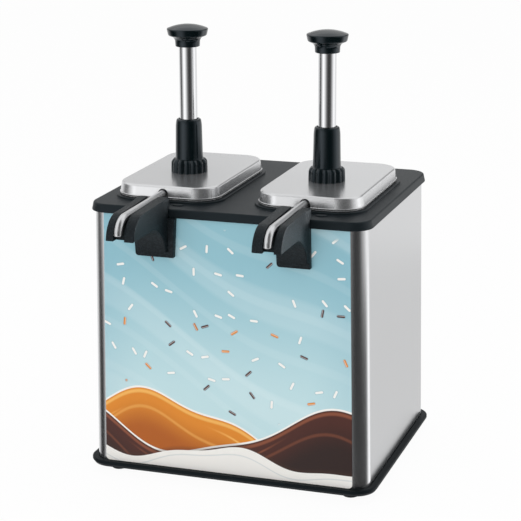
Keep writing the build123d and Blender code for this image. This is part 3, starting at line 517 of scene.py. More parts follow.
def quarter(radius, steps):
    """The steps round a quarter circle as (sideways, onwards) pairs, level at first."""
    angles = [math.pi / 2 * i / steps for i in range(steps + 1)]
    for a, b in zip(angles, angles[1:]):
        yield radius * (math.cos(a) - math.cos(b)), radius * (math.sin(b) - math.sin(a))


def ease(shape, direction, radius, steps=5):
    """Round a wall over into the face at its end, and return that face."""
    face = face_towards(shape, direction)
    step(shape, face, *quarter(radius, steps))
    return face


def as_mesh(name, shape):
    """A mesh of the shape, which is used up."""
    mesh = bpy.data.meshes.new(name)
    shape.to_mesh(mesh)
    shape.free()
    return mesh


def take_in(shape, mesh):
    """Add a mesh to a shape; the mesh is used up."""
    shape.from_mesh(mesh)
    bpy.data.meshes.remove(mesh)
    return shape


def joined(whole, *shapes):
    """Several shapes as one, each left as it is."""
    for shape in shapes:
        take_in(whole, as_mesh("part", shape))
    return whole


def copies(shape, matrices):
    """One copy of a shape at each place."""
    whole = joined(*(moved(shape.copy(), matrix) for matrix in matrices))
    shape.free()
    return whole


def new_object(name, data):
    made = bpy.data.objects.new(name, data)
    bpy.context.scene.collection.objects.link(made)
    return made


def discard(made):
    mesh = made.data
    bpy.data.objects.remove(made)
    bpy.data.meshes.remove(mesh)


def after_modifier(shape, kind, **settings):
    """A shape as one modifier leaves it."""
    work = new_object("work", as_mesh("work", shape))
    set_all(work.modifiers.new("work", kind), **settings)
    depsgraph = bpy.context.evaluated_depsgraph_get()
    solved = bpy.data.meshes.new_from_object(work.evaluated_get(depsgraph))
    discard(work)
    return take_in(bmesh.new(), solved)


def combine(shape, tool, operation="UNION"):
    """Join or cut two closed shapes; the tool is used up."""
    cutter = new_object("tool", as_mesh("tool", tool))
    result = after_modifier(shape, "BOOLEAN", object=cutter, operation=operation, solver="EXACT")
    discard(cutter)
    if not result.faces:
        raise RuntimeError("a boolean left nothing of the shape")
    bmesh.ops.remove_doubles(result, verts=result.verts[:], dist=0.0005)
    return result


def cut(shape, *tools):
    return combine(shape, joined(*tools), "DIFFERENCE")


def sliced(shape, point, normal, faces=None, clear=False):
    """Cut faces where a plane crosses them, and clear what lies past it if asked."""
    faces = dict.fromkeys(faces or shape.faces)
    edges = dict.fromkeys(e for f in faces for e in f.edges)
    verts = dict.fromkeys(v for f in faces for v in f.verts)
    bmesh.ops.bisect_plane(
        shape, geom=[*verts, *edges, *faces], dist=1e-4, plane_co=point, plane_no=normal,
        clear_outer=clear,
    )


def as_sheet(shape, thickness):
    """Give an open shell a thickness, inwards."""
    return after_modifier(shape, "SOLIDIFY", thickness=thickness, offset=-1.0, use_even_offset=True)


def lean_out(shape, top=LIP_Z):
    """Lean both side walls out below a height and in above it, as the housing's do."""
    for vert in shape.verts:
        if abs(vert.co.x) > 1e-4:
            vert.co.x += math.copysign(SIDE_FLARE, vert.co.x) * (top - vert.co.z)
    return shape


def turned(points, steps, x=0.0, y=0.0, closed=False):
    """A shape turned about an upright line from (radius, height[, rounding]) points."""
    shape = bmesh.new()
    verts = [shape.verts.new((point[0], 0, point[1])) for point in points]
    for pair in [*zip(verts, verts[1:])] + ([(verts[-1], verts[0])] if closed else []):
        shape.edges.new(pair)
    for vert, point in zip(verts, points):
        if len(point) > 2:
            rounded(shape, [vert], point[2], 5, "VERTICES")
    bmesh.ops.spin(
        shape, geom=shape.verts[:] + shape.edges[:], cent=(0, 0, 0), axis=UP, angle=2 * math.pi,
        steps=steps, use_merge=True,
    )
    bmesh.ops.remove_doubles(shape, verts=shape.verts[:], dist=0.001)
    return shifted(faced_outwards(shape), x, y)


class Pen:
    """Draws an outline in the upright plane x = 0 from (depth, height) points."""

    def __init__(self, depth, height):
        self.shape = bmesh.new()
        self.first = self.tip = self.shape.verts.new((0, depth, height))

    def line(self, *points):
        for depth, height in points:
            made = bmesh.ops.extrude_vert_indiv(self.shape, verts=[self.tip])
            self.tip = made["verts"][0]
            self.tip.co = (0, depth, height)
        return self

    def arc(self, depth, height, degrees, steps):
        """Swing round a centre; a positive angle turns from +Y towards +Z."""
        made = bmesh.ops.spin(
            self.shape, geom=[self.tip], cent=(0, depth, height), axis=(1, 0, 0),
            angle=math.radians(degrees), steps=steps,
        )
        self.tip = made["geom_last"][0]
        return self

    def prism(self, x0, x1):
        self.shape.edges.new((self.tip, self.first))
        bmesh.ops.contextual_create(self.shape, geom=self.shape.edges[:])
        return raise_up(shifted(self.shape, x0), (x1 - x0, 0, 0))


def upright(shape, back):
    """Stand a flat shape, drawn in X and Y, up in the X Z plane, its top facing the front."""
    stand = Matrix.Translation((0, y_at(back), 0)) @ Matrix.Rotation(math.pi / 2, 4, "X")
    return moved(shape, stand)


def piece(name, shape, body, slot, nodes=(), finish=None, edge=0.0, wall=0.0):
    """A named object of a shape on its body, in its slot's finish or another; its nodes are hidden.
    """
    bmesh.ops.scale(shape, verts=shape.verts[:], vec=(MM, MM, MM))
    made = new_object(name, as_mesh(name, shape))
    made.data.shade_smooth()
    if not edge:
        made.data.set_sharp_from_angle(angle=SHARP)
    made.data.materials.append(finish_named(finish or slot))
    if wall:
        thick = made.modifiers.new("wall", "SOLIDIFY")
        set_all(thick, thickness=wall * MM, offset=-1.0)
    if edge:
        eased = made.modifiers.new("edges", "BEVEL")
        set_all(eased, width=edge * MM, segments=2, limit_method="ANGLE", angle_limit=SHARP)
        eased.use_clamp_overlap = False
    made.modifiers.new("shading", "WEIGHTED_NORMAL").keep_sharp = True
    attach(made, body)
    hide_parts(*nodes)


def smoothed(name, node, slot, edge=0.0):
    """A merged, smoothly shaded copy of a CAD node, which it stands for."""
    source = frame["nodes"][node]
    shape = bmesh.new()
    shape.from_mesh(source.data)
    bmesh.ops.scale(shape, verts=shape.verts[:], vec=(1 / MM,) * 3)
    bmesh.ops.remove_doubles(shape, verts=shape.verts[:], dist=0.002)
    bmesh.ops.dissolve_limit(
        shape, angle_limit=math.radians(0.5), verts=shape.verts[:], edges=shape.edges[:]
    )
    piece(name, shape, source["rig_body"], slot, [node], edge=edge)


def carried(slot, *nodes):
    """Give CAD nodes that stay in view their finish."""
    for node in nodes:
        for place in frame["nodes"][node].material_slots:
            place.material = finish_named(slot)


class Maker:
    """What the operators share; each one's make adds its pieces."""

    bl_options = {"REGISTER", "UNDO"}

    def execute(self, context):
        self.make(context.scene.warmer_housing, context.scene.warmer_pump)
        return {"FINISHED"}


# ---- Housing ----
def body_width(sizes, z):
    return sizes.width / MM + 2 * SIDE_FLARE * (LIP_Z - z)


class WARMER_OT_base_tray(Maker, bpy.types.Operator):
    """Moulded tray: a rounded rim, a groove that the steel wrap stands in and an upstand"""

    bl_idname = "warmer.base_tray"
    bl_label = "Base tray"

    def make(self, sizes, pump):
        over = sizes.rim_overhang / MM
        belt, top, soft = 13.5, 17.5, 1.5
        width, deep = body_width(sizes, top) + 2 * over, DEPTH + 2 * over
        tray = block(width, deep, WRAP_RADIUS + over, belt, top - soft, y=MIDDLE_Y)
        step(tray, face_towards(tray, DOWN), (2.5, 3.5), (7.0, 0), (0.8, -1.0))
        rim = ease(tray, UP, soft)
        groove = (over - 2.0, 0), (0.01, -4.5), (2.1, 0)
        upstand = (0.01, 17), (2.5, 0), (0.01, -17)
        step(tray, rim, *groove, *upstand)
        # the tray's finish is a darker copy of the cover's moulding: painted shade
        piece("base_moulding", tray, "housing", "plastic_black", ["base_tray"], "plastic_base")


class WARMER_OT_feet(Maker, bpy.types.Operator):
    """Four rubber feet and the screws that hold them"""

    bl_idname = "warmer.feet"
    bl_label = "Feet"

    def make(self, sizes, pump):
        across = body_width(sizes, 10) / 2 - 26
        profile = [(4.5, 0, 0.4), (9, 0, 0.5), (10, 1, 0.4), (12, 10), (2, 10), (2, 5), (4.5, 5)]
        places = [(side * across, y_at(back), 0) for side in (-1, 1) for back in (22, 272)]
        feet = copies(turned(profile, 40, closed=True), map(Matrix.Translation, places))
        piece("rubber_feet", feet, "housing", "rubber_black", ["feet"])
        carried("zinc_plated", "foot_screws", "cover_screws", "spout_screws")


class WARMER_OT_steel_wrap(Maker, bpy.types.Operator):
    """Brushed steel wrap: four walls, rounded corners, a flange folded in and a service opening"""

    bl_idname = "warmer.steel_wrap"
    bl_label = "Steel wrap"

    def make(self, sizes, pump):
        foot, top, fold = 13.0, 344.8, 1.2
        wrap = block(sizes.width / MM, DEPTH, WRAP_RADIUS, foot, top - fold, y=MIDDLE_Y, steps=FINE)
        flange = ease(wrap, UP, fold, 4)
        step(wrap, flange, (7.8, 0))
        bmesh.ops.delete(wrap, geom=[flange, face_towards(wrap, DOWN)], context="FACES_ONLY")
        hatch = block(236, 6, 0, *HATCH, y=y_at(DEPTH))
        wrap = lean_out(cut(as_sheet(wrap, 1.0), hatch))
        piece("steel_wrap", wrap, "housing", "stainless_brushed", ["shroud"])


class WARMER_OT_front_panel(Maker, bpy.types.Operator):
    """Printed front sheet, a little wider at its foot like the wrap behind it"""

    bl_idname = "warmer.front_panel"
    bl_label = "Front panel"

    def make(self, sizes, pump):
        low, high = 17.8, 341.0
        sheet = plate(sizes.panel_width / MM, high - low, 5.0, y=(low + high) / 2, steps=8)
        sheet = upright(raise_up(sheet, (0, 0, 1.0)), 0)
        front = [f for f in sheet.faces if f.normal.y < -0.9][0]
        rounded(sheet, front.edges[:], 0.25, 2)
        piece("printed_panel", lean_out(sheet, high), "housing", "panel_print", ["front_panel"])


class WARMER_OT_top_cover(Maker, bpy.types.Operator):
    """Moulded cover: a deck with a flared lip, a curb round each opening and two oval bosses"""

    bl_idname = "warmer.top_cover"
    bl_label = "Top cover"

    def make(self, sizes, pump):
        flare, shoulder, start = 1.5, 2.5, 0.6
        grown = sizes.lip_overhang / MM + flare
        width, deep, radius = sizes.width / MM + 2 * grown, DEPTH + 2 * grown, WRAP_RADIUS + grown
        cover = block(width, deep, radius, LIP_Z, LIP_Z + start, y=MIDDLE_Y, steps=FINE)
        step(cover, face_towards(cover, UP), (flare, COVER_Z - LIP_Z - shoulder - start))
        ease(cover, UP, shoulder, 6)
        step(cover, ease(cover, DOWN, 0.5, 3), (2.0, 0), (1.2, -6.5))
        past, fillet, crown = 5.0, 0.8, 1.1
        wide, deep = pump.lid_width / MM + 2 * past, pump.lid_length / MM + 2 * past
        wells = [(x, y_at(WELL_BACK)) for x in WELL_X.values()]
        for x, y in wells:
            curb = block(wide, deep, LID_RADIUS + past, COVER_Z - 1, COVER_Z, x, y, steps=16)
            foot = ((onwards, sideways) for sideways, onwards in quarter(fillet, 4))
            top = face_towards(curb, UP)
            step(curb, top, *foot, (0.01, CURB_Z - COVER_Z - fillet - crown))
            ease(curb, UP, crown)
            cover = combine(cover, curb)
            boss = bmesh.new()
            bmesh.ops.create_circle(boss, cap_ends=True, segments=36, radius=1)
            bmesh.ops.scale(boss, verts=boss.verts[:], vec=(7.3, 4.3, 1))
            raise_up(shifted(boss, x + 24.5, y_at(18), COVER_Z - 1), (0, 0, 1.5))
            ease(boss, UP, 0.7, 4)
            cover = combine(cover, boss)
        openings = [block(118, 198, 27, COVER_Z - 12, CURB_Z + 5, x, y) for x, y in wells]
        piece("cover_moulding", cut(cover, *openings), "housing", "plastic_black", ["top_cover"])


# ---- Spouts ----
CHEEK_OUT = 17.6
FLARE_OUT = 19.6
FLARE_DEPTH = 15.0
PLATE_FRONT = 9.0
UNDER_Z = 332.5
NOSE_TOP_Z = 362.0
NOSE_CORNER = 3.5
PLATE_LEFT = {"left": (21.0, 23.5), "right": (22.3, 24.8)}
PLATE_RIGHT = {"left": (27.2, 29.9), "right": (18.5, 17.8)}
NOSE_SHIFT = {"left": 1.3, "right": -2.0}
ARCH_FRONT, ARCH_FOOT_Z = -55.0, 297.0
ARCH_CENTRE, ARCH_TURN = (-52.003, 293.4508), 89.1893
BEND_BACK, BEND_Z = -79.3, 330.2
BEND_R = 29.7
NOSE_WALL = 2.7
GROOVE_HALF = 6.9
GROOVE_BEND_R = 20.6
OUTLET_R = 4.75
OUTLET_REACH = 110.0
OUTLET_END_Z = 340.0
OUTLET_BEND_R = 21.0
OUTLET_SLOPE = 0.008


def outlet_z(back):
    """Height of the outlet tube's centre over a plane this far behind the front panel."""
    return 358.15 + OUTLET_SLOPE * (back - OUTLET_BACK)


def nose_half(back, z):
    """Half-width of the nose, whose cheeks sweep out to the plate and round off at the top."""
    spread = FLARE_OUT - CHEEK_OUT
    radius = (FLARE_DEPTH**2 + spread**2) / (2 * spread)
    into = min(max(back + PLATE_FRONT + FLARE_DEPTH, 0.0), FLARE_DEPTH)
    half = CHEEK_OUT + radius - math.sqrt(radius**2 - into**2)
    above = z - (NOSE_TOP_Z - NOSE_CORNER)
    if above > 0:
        drop = math.sqrt(max(NOSE_CORNER**2 - above**2, 0))
        half = min(half, FLARE_OUT - NOSE_CORNER + drop)
    return half


def nose_shape():
    """The nose's side view drawn out across its width, eased, then swept out to the plate."""
    pen = Pen(BEND_BACK, BEND_Z + BEND_R)
    pen.arc(BEND_BACK, BEND_Z, math.degrees(math.acos((UNDER_Z - BEND_Z) / BEND_R)), 14)
    pen.line((ARCH_FRONT, UNDER_Z)).arc(*ARCH_CENTRE, -ARCH_TURN, 12)
    back, rear, ledge = -5.9, -1.0, COVER_Z + 0.5
    pen.line((back, ARCH_FOOT_Z), (back, ledge), (rear, ledge), (rear, NOSE_TOP_Z))
    nose = pen.prism(-CHEEK_OUT, CHEEK_OUT)
    ahead = [e for e in nose.edges if max(v.co.y for v in e.verts) < -12.5]
    soft = [e for e in ahead if abs(sum(v.co.x for v in e.verts)) > 2 * CHEEK_OUT - 0.02]
    rounded(nose, soft, 1.3, 4)
    for back in (-24, -21, -18.5, -16, -14, -12, -10.5, -9):
        sliced(nose, (0, back, 0), (0, 1, 0))
    for z in (358.5, 359.6, 360.6, 361.4):
        sliced(nose, (0, 0, z), UP)
    for side in (-1, 1):
        for vert in [v for v in nose.verts if v.co.x * side > CHEEK_OUT - 1.35]:
            vert.co.x += side * (nose_half(vert.co.y, vert.co.z) - CHEEK_OUT)
    return shifted(nose, y=FRONT_Y)


def groove_shape():
    """The cut for the outlet tube: a run under it, a bend and an open front."""
    under = OUTLET_R + 0.65
    bend_z = outlet_z(BEND_BACK) - under - GROOVE_BEND_R
    back, front, low, top = 40, -140, bend_z - 8, 380
    pen = Pen(back, outlet_z(back) - under).line((BEND_BACK, bend_z + GROOVE_BEND_R))
    pen.arc(BEND_BACK, bend_z, 90, 12)
    pen.line((BEND_BACK - GROOVE_BEND_R, low), (front, low), (front, top), (back, top))
    return shifted(pen.prism(-GROOVE_HALF, GROOVE_HALF), y=FRONT_Y)


def pocket_shape(side, shift):
    """The moulding's hollow in one cheek, open below and ahead of the arch."""
    inner, foot, back = BEND_R - NOSE_WALL, 326, -52.5
    pen = Pen(BEND_BACK, BEND_Z + inner).arc(BEND_BACK, BEND_Z, 90, 10)
    pen.line((BEND_BACK - inner, foot), (back, foot), (back, 357.6))
    low, high = sorted((side * (GROOVE_HALF + NOSE_WALL), side * (CHEEK_OUT - NOSE_WALL) + shift))
    return shifted(pen.prism(low, high), y=FRONT_Y)


def plate_shape(side):
    """The plate under the cover's lip, its outline narrower at the foot, its front edges eased."""
    (right_foot, right_top), (left_foot, left_top) = PLATE_RIGHT[side], PLATE_LEFT[side]
    low, high = 289.5, LIP_Z - 0.6
    shape = bmesh.new()
    corners = [(-left_foot, low), (right_foot, low), (right_top, high), (-left_top, high)]
    verts = [shape.verts.new((x, z, 0)) for x, z in corners]
    shape.faces.new(verts)
    rounded(shape, verts[:1], 3.5, 6, "VERTICES")
    raise_up(shape, (0, 0, PLATE_FRONT - 1.0))
    front = face_towards(shape, UP)
    rounded(shape, [e for e in front.edges if min(v.co.y for v in e.verts) < high - 0.1], 1.0, 3)
    return upright(shape, -1.0)


class WARMER_OT_spouts(Maker, bpy.types.Operator):
    """Two moulded spouts: a plate and a hollow nose with an open-topped groove"""

    bl_idname = "warmer.spouts"
    bl_label = "Spouts"

    def make(self, sizes, pump):
        for side, x in WELL_X.items():
            shift = NOSE_SHIFT[side]
            nose = combine(shifted(nose_shape(), shift), plate_shape(side))
            nose = combine(nose, block(24, 18, 1.5, COVER_Z, COVER_Z + 3.0, 0, y_at(5), steps=4))
            for tool in (groove_shape(), pocket_shape(-1, shift), pocket_shape(1, shift)):
                nose = cut(nose, tool)
            name, node = f"spout_moulding_{side}", f"spout_housing_{side}"
            piece(name, shifted(nose, x), "housing", "plastic_black", [node], "plastic_spout")


# ---- Jars, lids and pumps ----
class WARMER_OT_jars(Maker, bpy.types.Operator):
    """Lift-out steel jars with a rolled rim, and the wells that they stand in"""

    bl_idname = "warmer.jars"
    bl_label = "Jars and wells"

    def make(self, sizes, pump):
        wide, deep, radius, wall, foot = 108, 188, 22, 1, 133
        y = y_at(WELL_BACK)
        for side, x in WELL_X.items():
            body = block(wide, deep, radius, foot, RIM_Z - 0.5, x, y, steps=12)
            ease(body, DOWN, 9.0, 7)
            rim = block(130.2, 210.2, 30.5, RIM_Z - 1.1, RIM_Z - 0.9, x, y, steps=FINE)
            ease(rim, DOWN, 0.9, 4)
            ease(rim, UP, 0.25, 4)
            jar = combine(body, rim)
            bore = block(wide - 2 * wall, deep - 2 * wall, radius - wall, foot, 360, x, y, steps=12)
            ease(bore, DOWN, 8.0, 7)
            jar = cut(jar, bore)
            name, node = f"jar_drawn_{side}", f"jar_{side}"
            piece(name, jar, f"{side}_jar", "stainless_satin", [node], "stainless_jar")
            smoothed(f"well_drawn_{side}", f"well_{side}", "aluminium_drawn")


def notch_shape(x, low):
    """The lid's notch for the tube: round-topped, its mouth flared outwards at the hem."""
    half, top, mouth = 6.5, 364.3, 3.0
    pen = Pen(half + mouth, low - 1).line((half + mouth, low))
    pen.arc(half + mouth, low + mouth, -90, 6).line((half, top - half))
    pen.arc(0, top - half, 180, 20).line((-half, low + mouth))
    pen.arc(-half - mouth, low + mouth, -90, 6).line((-half - mouth, low - 1))
    turn = Matrix.Translation((x, y_at(OUTLET_BACK), 0)) @ Matrix.Rotation(-math.pi / 2, 4, "Z")
    return moved(pen.prism(-6, 6), turn)


class WARMER_OT_lids(Maker, bpy.types.Operator):
    """Drawn steel lids with a rolled hem, a notch for the tube and a hole for the pump"""

    bl_idname = "warmer.lids"
    bl_label = "Lids"

    def make(self, sizes, pump):
        y, low, band, corner, out, draft = y_at(WELL_BACK), RIM_Z + 0.2, 1.5, 3.0, 0.9, 1.4

        def layer(past, z0, z1):
            """A block of the lid's outline, drawn in by past."""
            wide, deep = pump.lid_width / MM - 2 * past, pump.lid_length / MM - 2 * past
            return block(wide, deep, LID_RADIUS - past, z0, z1, x, y, steps=FINE)

        for side, x in WELL_X.items():
            lid = layer(out, low, low + band)
            step(lid, face_towards(lid, UP), (draft, LID_Z - corner - low - band))
            ease(lid, UP, corner, 8)
            bmesh.ops.delete(lid, geom=[face_towards(lid, DOWN)], context="FACES_ONLY")
            lid = as_sheet(lid, 1.2)
            hem = layer(0, low + 0.35, low + 0.9)
            ease(hem, UP, 0.6, 4)
            ease(hem, DOWN, 0.35, 3)
            lid = combine(lid, cut(hem, layer(out + 1.25, low - 1, low + 4)))
            hole = turned([(0, 355), (14.5, 355), (14.5, 375), (0, 375)], 48, x, y_at(PUMP_BACK))
            lid = cut(lid, notch_shape(x, low), hole)
            piece(f"lid_drawn_{side}", lid, f"{side}_pump", "stainless_satin", [f"lid_{side}"])


class WARMER_OT_collars(Maker, bpy.types.Operator):
    """Tapered locking collars with a ribbed nut and a rounded, recessed mouth"""

    bl_idname = "warmer.collars"
    bl_label = "Collars"

    def make(self, sizes, pump):
        nut = [(22.9, LID_Z, 0.4), (22.6, 380.6, 1.6), (19.6, 384.2, 1.2)]
        sleeve = [(17.2, 384.4, 0.5), (16.4, 427.0, 3.0), (15.2, 434.45, 2.2), (12.3, 434.45, 0.9)]
        bore = [(11.1, 431.0), (11.1, 422.5), (13.0, 420.5), (13.0, 386.0)]
        bore += [(14.0, 386.0), (14.0, LID_Z)]
        nut_top, nut_core, valley_depth = 384.4, 18.2, 2.1
        for side, x in WELL_X.items():
            collar = turned(nut + sleeve + bore, pump.nut_ribs * 12, closed=True)
            for vert in collar.verts:
                radius = math.hypot(vert.co.x, vert.co.y)
                if radius > nut_core and vert.co.z < nut_top:
                    angle = math.atan2(vert.co.y, vert.co.x)
                    valley = 1 - abs(math.cos(pump.nut_ribs * angle / 2))
                    vert.co.xy *= 1 - valley_depth * valley / radius
            shifted(collar, x, y_at(PUMP_BACK))
            name, node = f"collar_turned_{side}", f"lock_collar_{side}"
            piece(name, collar, f"{side}_pump", "plastic_gloss_black", [node])


class WARMER_OT_plungers(Maker, bpy.types.Operator):
    """Palm knobs on polished tubes"""

    bl_idname = "warmer.plungers"
    bl_label = "Knobs and plunger tubes"

    def make(self, sizes, pump):
        r, wall = pump.tube_radius / MM, 1.2
        low, high, knob_foot, socket_top = 349, 540.5, 525.0, 541.0
        neck = [(0, socket_top), (r, socket_top), (r, knob_foot), (15.1, knob_foot, 0.9)]
        brim = [(15.7, 535.9, 4.8), (23.9, 538.7, 1.3), (25.75, 546.9, 1.0)]
        dome = [(24.4, 547.65), (18.5, 549.78, 2.0), (12.5, 551.28, 2.0), (6.2, 552.2, 2.0)]
        dome.append((0, 552.5))
        outside = [(0, low), (r, low), (r, high)]
        inside = [(r - wall, high), (r - wall, low + 1.5), (0, low + 1.5)]
        for side, x in WELL_X.items():
            for name, node, slot, points, steps in (
                ("knob_turned", "knob", "plastic_gloss_black", neck + brim + dome, 96),
                ("plunger_polished", "plunger_tube", "stainless_polished", outside + inside, 64),
            ):
                shape = turned(points, steps, x, y_at(PUMP_BACK))
                piece(f"{name}_{side}", shape, f"{side}_plunger", slot, [f"{node}_{side}"])


def drawn_along(shape, edges, vector):
    """Extrude a ring of edges along a vector and return the new ring."""
    made = bmesh.ops.extrude_edge_only(shape, edges=edges)["geom"]
    bmesh.ops.translate(shape, verts=of_kind(made, bmesh.types.BMVert), vec=vector)
    return of_kind(made, bmesh.types.BMEdge)


def swung(shape, edges, centre, angle, steps):
    """Swing a ring of edges round a centre in the Y Z plane and return the last ring."""
    verts = list(dict.fromkeys(v for e in edges for v in e.verts))
    made = bmesh.ops.spin(
        shape, geom=verts + edges, cent=centre, axis=(1, 0, 0), angle=angle, steps=steps
    )
    return of_kind(made["geom_last"], bmesh.types.BMEdge)


class WARMER_OT_outlet_tubes(Maker, bpy.types.Operator):
    """Bent outlet tubes, from the valve block up, out through the lid and down at the nose"""

    bl_idname = "warmer.outlet_tubes"
    bl_label = "Outlet tubes"

    def make(self, sizes, pump):
        back, front, foot, riser_r = PUMP_BACK - 30.0, -OUTLET_REACH, 239.0, 16.0
        slope = math.atan(OUTLET_SLOPE)
        first, last = math.pi / 2 + slope, math.pi / 2 - slope
        bends = riser_r * math.tan(first / 2), OUTLET_BEND_R * math.tan(last / 2)
        rise = outlet_z(back) - bends[0] - foot
        run = math.dist((back, outlet_z(back)), (front, outlet_z(front))) - sum(bends)
        ahead = Vector((0, -math.cos(slope), -math.sin(slope)))
        inward = Vector((0, math.sin(slope), -math.cos(slope)))
        for side, x in WELL_X.items():
            tube = bmesh.new()
            bmesh.ops.create_circle(tube, segments=32, radius=pump.outlet_radius / MM)
            shifted(tube, 0, y_at(back), foot)
            ring = drawn_along(tube, tube.edges[:], (0, 0, rise))
            ring = swung(tube, ring, (0, y_at(back) - riser_r, foot + rise), first, 14)
            ring = drawn_along(tube, ring, ahead * run)
            middle = sum((v.co for e in ring for v in e.verts), Vector()) / (2 * len(ring))
            ring = swung(tube, ring, middle + OUTLET_BEND_R * inward, last, 16)
            drawn_along(tube, ring, (0, 0, -4))
            front_end = [f for v in tube.verts if v.co.y < y_at(-60) for f in v.link_faces]
            sliced(tube, (0, 0, OUTLET_END_Z), DOWN, front_end, clear=True)
            faced_outwards(tube)
            if face_towards(tube, (1, 0, 0)).calc_center_median().x < 0:
                bmesh.ops.reverse_faces(tube, faces=tube.faces[:])
            name, node = f"outlet_tube_{side}", f"discharge_tube_{side}"
            slot, finish = "stainless_polished", "stainless_tube"
            piece(name, shifted(tube, x), f"{side}_pump", slot, [node], finish, wall=0.8)


class WARMER_OT_pump_insides(Maker, bpy.types.Operator):
    """Cylinders, valves, pistons, springs and balls: smooth copies or the frame's own nodes"""

    bl_idname = "warmer.pump_insides"
    bl_label = "Pump insides"

    def make(self, sizes, pump):
        for side in WELL_X:
            for name, node, slot, edge in (
                ("cylinder_bored", "pump_cylinder", "stainless_satin", 0.0),
                ("valve_moulding", "valve_body", "acetal_white", 0.4),
                ("intake_pipe", "intake_tube", "stainless_satin", 0.0),
                ("piston_cup", "piston", "acetal_white", 0.0),
                ("piston_lip_seal", "piston_seal", "silicone_clear", 0.0),
                ("inlet_check_ball", "inlet_ball", "stainless_polished", 0.0),
                ("outlet_check_ball", "outlet_ball", "stainless_polished", 0.0),
            ):
                smoothed(f"{name}_{side}", f"{node}_{side}", slot, edge)
            carried("stainless_polished", f"return_spring_{side}")
            carried("silicone_orange", f"heater_{side}")
            carried("glass_fibre", f"insulation_{side}")
            carried("phenolic_brown", f"thermostat_{side}")


# ---- Rear ----
HATCH = (48.0, 304.0)
SWITCH = (78.0, 78.0)
GLAND = (-78.0, 70.0)
PANEL_PROUD = 1.0


class WARMER_OT_rear_panel(Maker, bpy.types.Operator):
    """Rear service panel with vent slots, its screws, and the cord gland"""

    bl_idname = "warmer.rear_panel"
    bl_label = "Rear panel"

    def make(self, sizes, pump):
        low, high = HATCH
        middle = (low + high) / 2
        sheet = plate(260, high - low + 24, 8, y=middle, steps=8)
        sheet = raise_up(sheet, (0, 0, -PANEL_PROUD))
        holes = [
            block(46, 3, 1.49, -3, 3, column * 62, high - 26 - 8 * row, steps=5)
            for row in range(7)
            for column in (-1, 0, 1)
        ]
        holes.append(block(22, 28.4, 0.5, -3, 3, *SWITCH, steps=2))
        holes.append(turned([(0, -3), (8.2, -3), (8.2, 3), (0, 3)], 36, *GLAND))
        sheet = upright(cut(sheet, *holes), DEPTH)
        piece("service_panel", sheet, "housing", "stainless_brushed", ["back_panel"], edge=0.2)

        shank = [(0, -5), (1.5, -5), (1.5, 0)]
        head = [(3.0, 0, 0.2), (3.0, 1.1, 0.6), (2.0, 2.0, 0.7), (0, 2.0)]
        screw = turned(shank + head, 32)
        for size in ((3.0, 0.7), (0.7, 3.0)):
            screw = cut(screw, block(*size, 0.2, 1.1, 3, steps=1))
        face_back = Matrix.Rotation(-math.pi / 2, 4, "X")
        places = [
            Matrix.Translation((side * 124, y_at(DEPTH) + PANEL_PROUD, z))
            @ face_back
            @ Matrix.Rotation(0.35 * n + side, 4, "Z")
            for side in (-1, 1)
            for n, z in enumerate((low + 20, middle, high - 20))
        ]
        screws = copies(screw, places)
        piece("service_screws", screws, "housing", "stainless_polished", ["back_screws"])
        smoothed("gland_moulding", "cord_gland", "plastic_black", edge=0.35)


class WARMER_OT_switch(Maker, bpy.types.Operator):
    """Rocker switch with its frame and the two raised marks on the lever"""

    bl_idname = "warmer.switch"
    bl_label = "Switch"

    def make(self, sizes, pump):
        smoothed("switch_frame", "rocker_bezel", "plastic_gloss_black", edge=0.25)
        smoothed("switch_lever", "rocker", "plastic_gloss_black", edge=0.25)
        tilt, sunk, raised = math.radians(9), -0.3, 0.15
        x, z = SWITCH
        facing_back = Matrix(((-1, 0, 0), (0, 0, 1), (0, 1, 0))).to_4x4()
        lever = Matrix.Translation((x, y_at(DEPTH) + PANEL_PROUD - 2.0, z)) @ facing_back
        lever = lever @ Matrix.Rotation(tilt, 4, "X")

        def on_flat(shape, up):
            """Lay a mark on the half of the lever that is this far up from its middle."""
            half = Matrix.Translation((0, up, 3.0 + abs(up) * math.tan(tilt)))
            return moved(shape, lever @ half @ Matrix.Rotation(math.copysign(tilt, up), 4, "X"))

        ring = [(1.7, sunk), (2.3, sunk), (2.3, raised, 0.1), (1.7, raised, 0.1)]
        bar = block(0.7, 4.4, 0.3, sunk, raised, steps=3)
        marks = joined(on_flat(turned(ring, 32, closed=True), -6.0), on_flat(bar, 6.0))
        faced_outwards(marks)
        piece("switch_marks", marks, "switch_rocker", "acetal_white", (), "switch_white")


class WARMER_OT_electrics(Maker, bpy.types.Operator):
    """Terminal block, high-limit cut-out and wiring inside the housing"""

    bl_idname = "warmer.electrics"
    bl_label = "Electrics"

    def make(self, sizes, pump):
        carried("acetal_white", "terminal_block")
        carried("zinc_plated", "high_limit")
        carried("wire_sleeve", "wiring")


# ---- Stage, in metres ----
CAMERA_AT = (0.686446, -2.016571, 0.843229)
CAMERA_YAW = 18.49
CAMERA_DOWN = 15.21
CAMERA_ROLL = 0.26
CAMERA_LENS = 122.39

# Brightness of the surroundings in reflections, by degrees round from the camera.
UPPER_LIGHT = (
    (-180, 1.0), (-130, 0.95), (-117, 0.4), (-104, 0.1), (-92, 0.14), (-80, 0.55), (-66, 1.05),
    (-54, 1.55), (-44, 1.35), (-33, 1.1), (-20, 0.6), (-8, 0.25), (5, 0.09), (20, 0.05), (36, 0.08),
    (48, 0.2), (60, 0.6), (76, 1.0), (92, 1.5), (108, 1.15), (143, 0.9), (180, 1.0),
)
LOWER_LIGHT = (
    (-180, 1.0), (-134, 1.05), (-122, 0.7), (-110, 0.15), (-98, 0.03), (-82, 0.03), (-73, 0.3),
    (-60, 1.0), (-45, 1.1), (-37, 1.1), (-25, 0.6), (-12, 0.1), (5, 0.05), (45, 0.05), (74, 0.05),
    (86, 0.14), (95, 0.6), (105, 1.4), (114, 1.7), (123, 1.25), (132, 0.85), (143, 0.77),
    (180, 0.8),
)
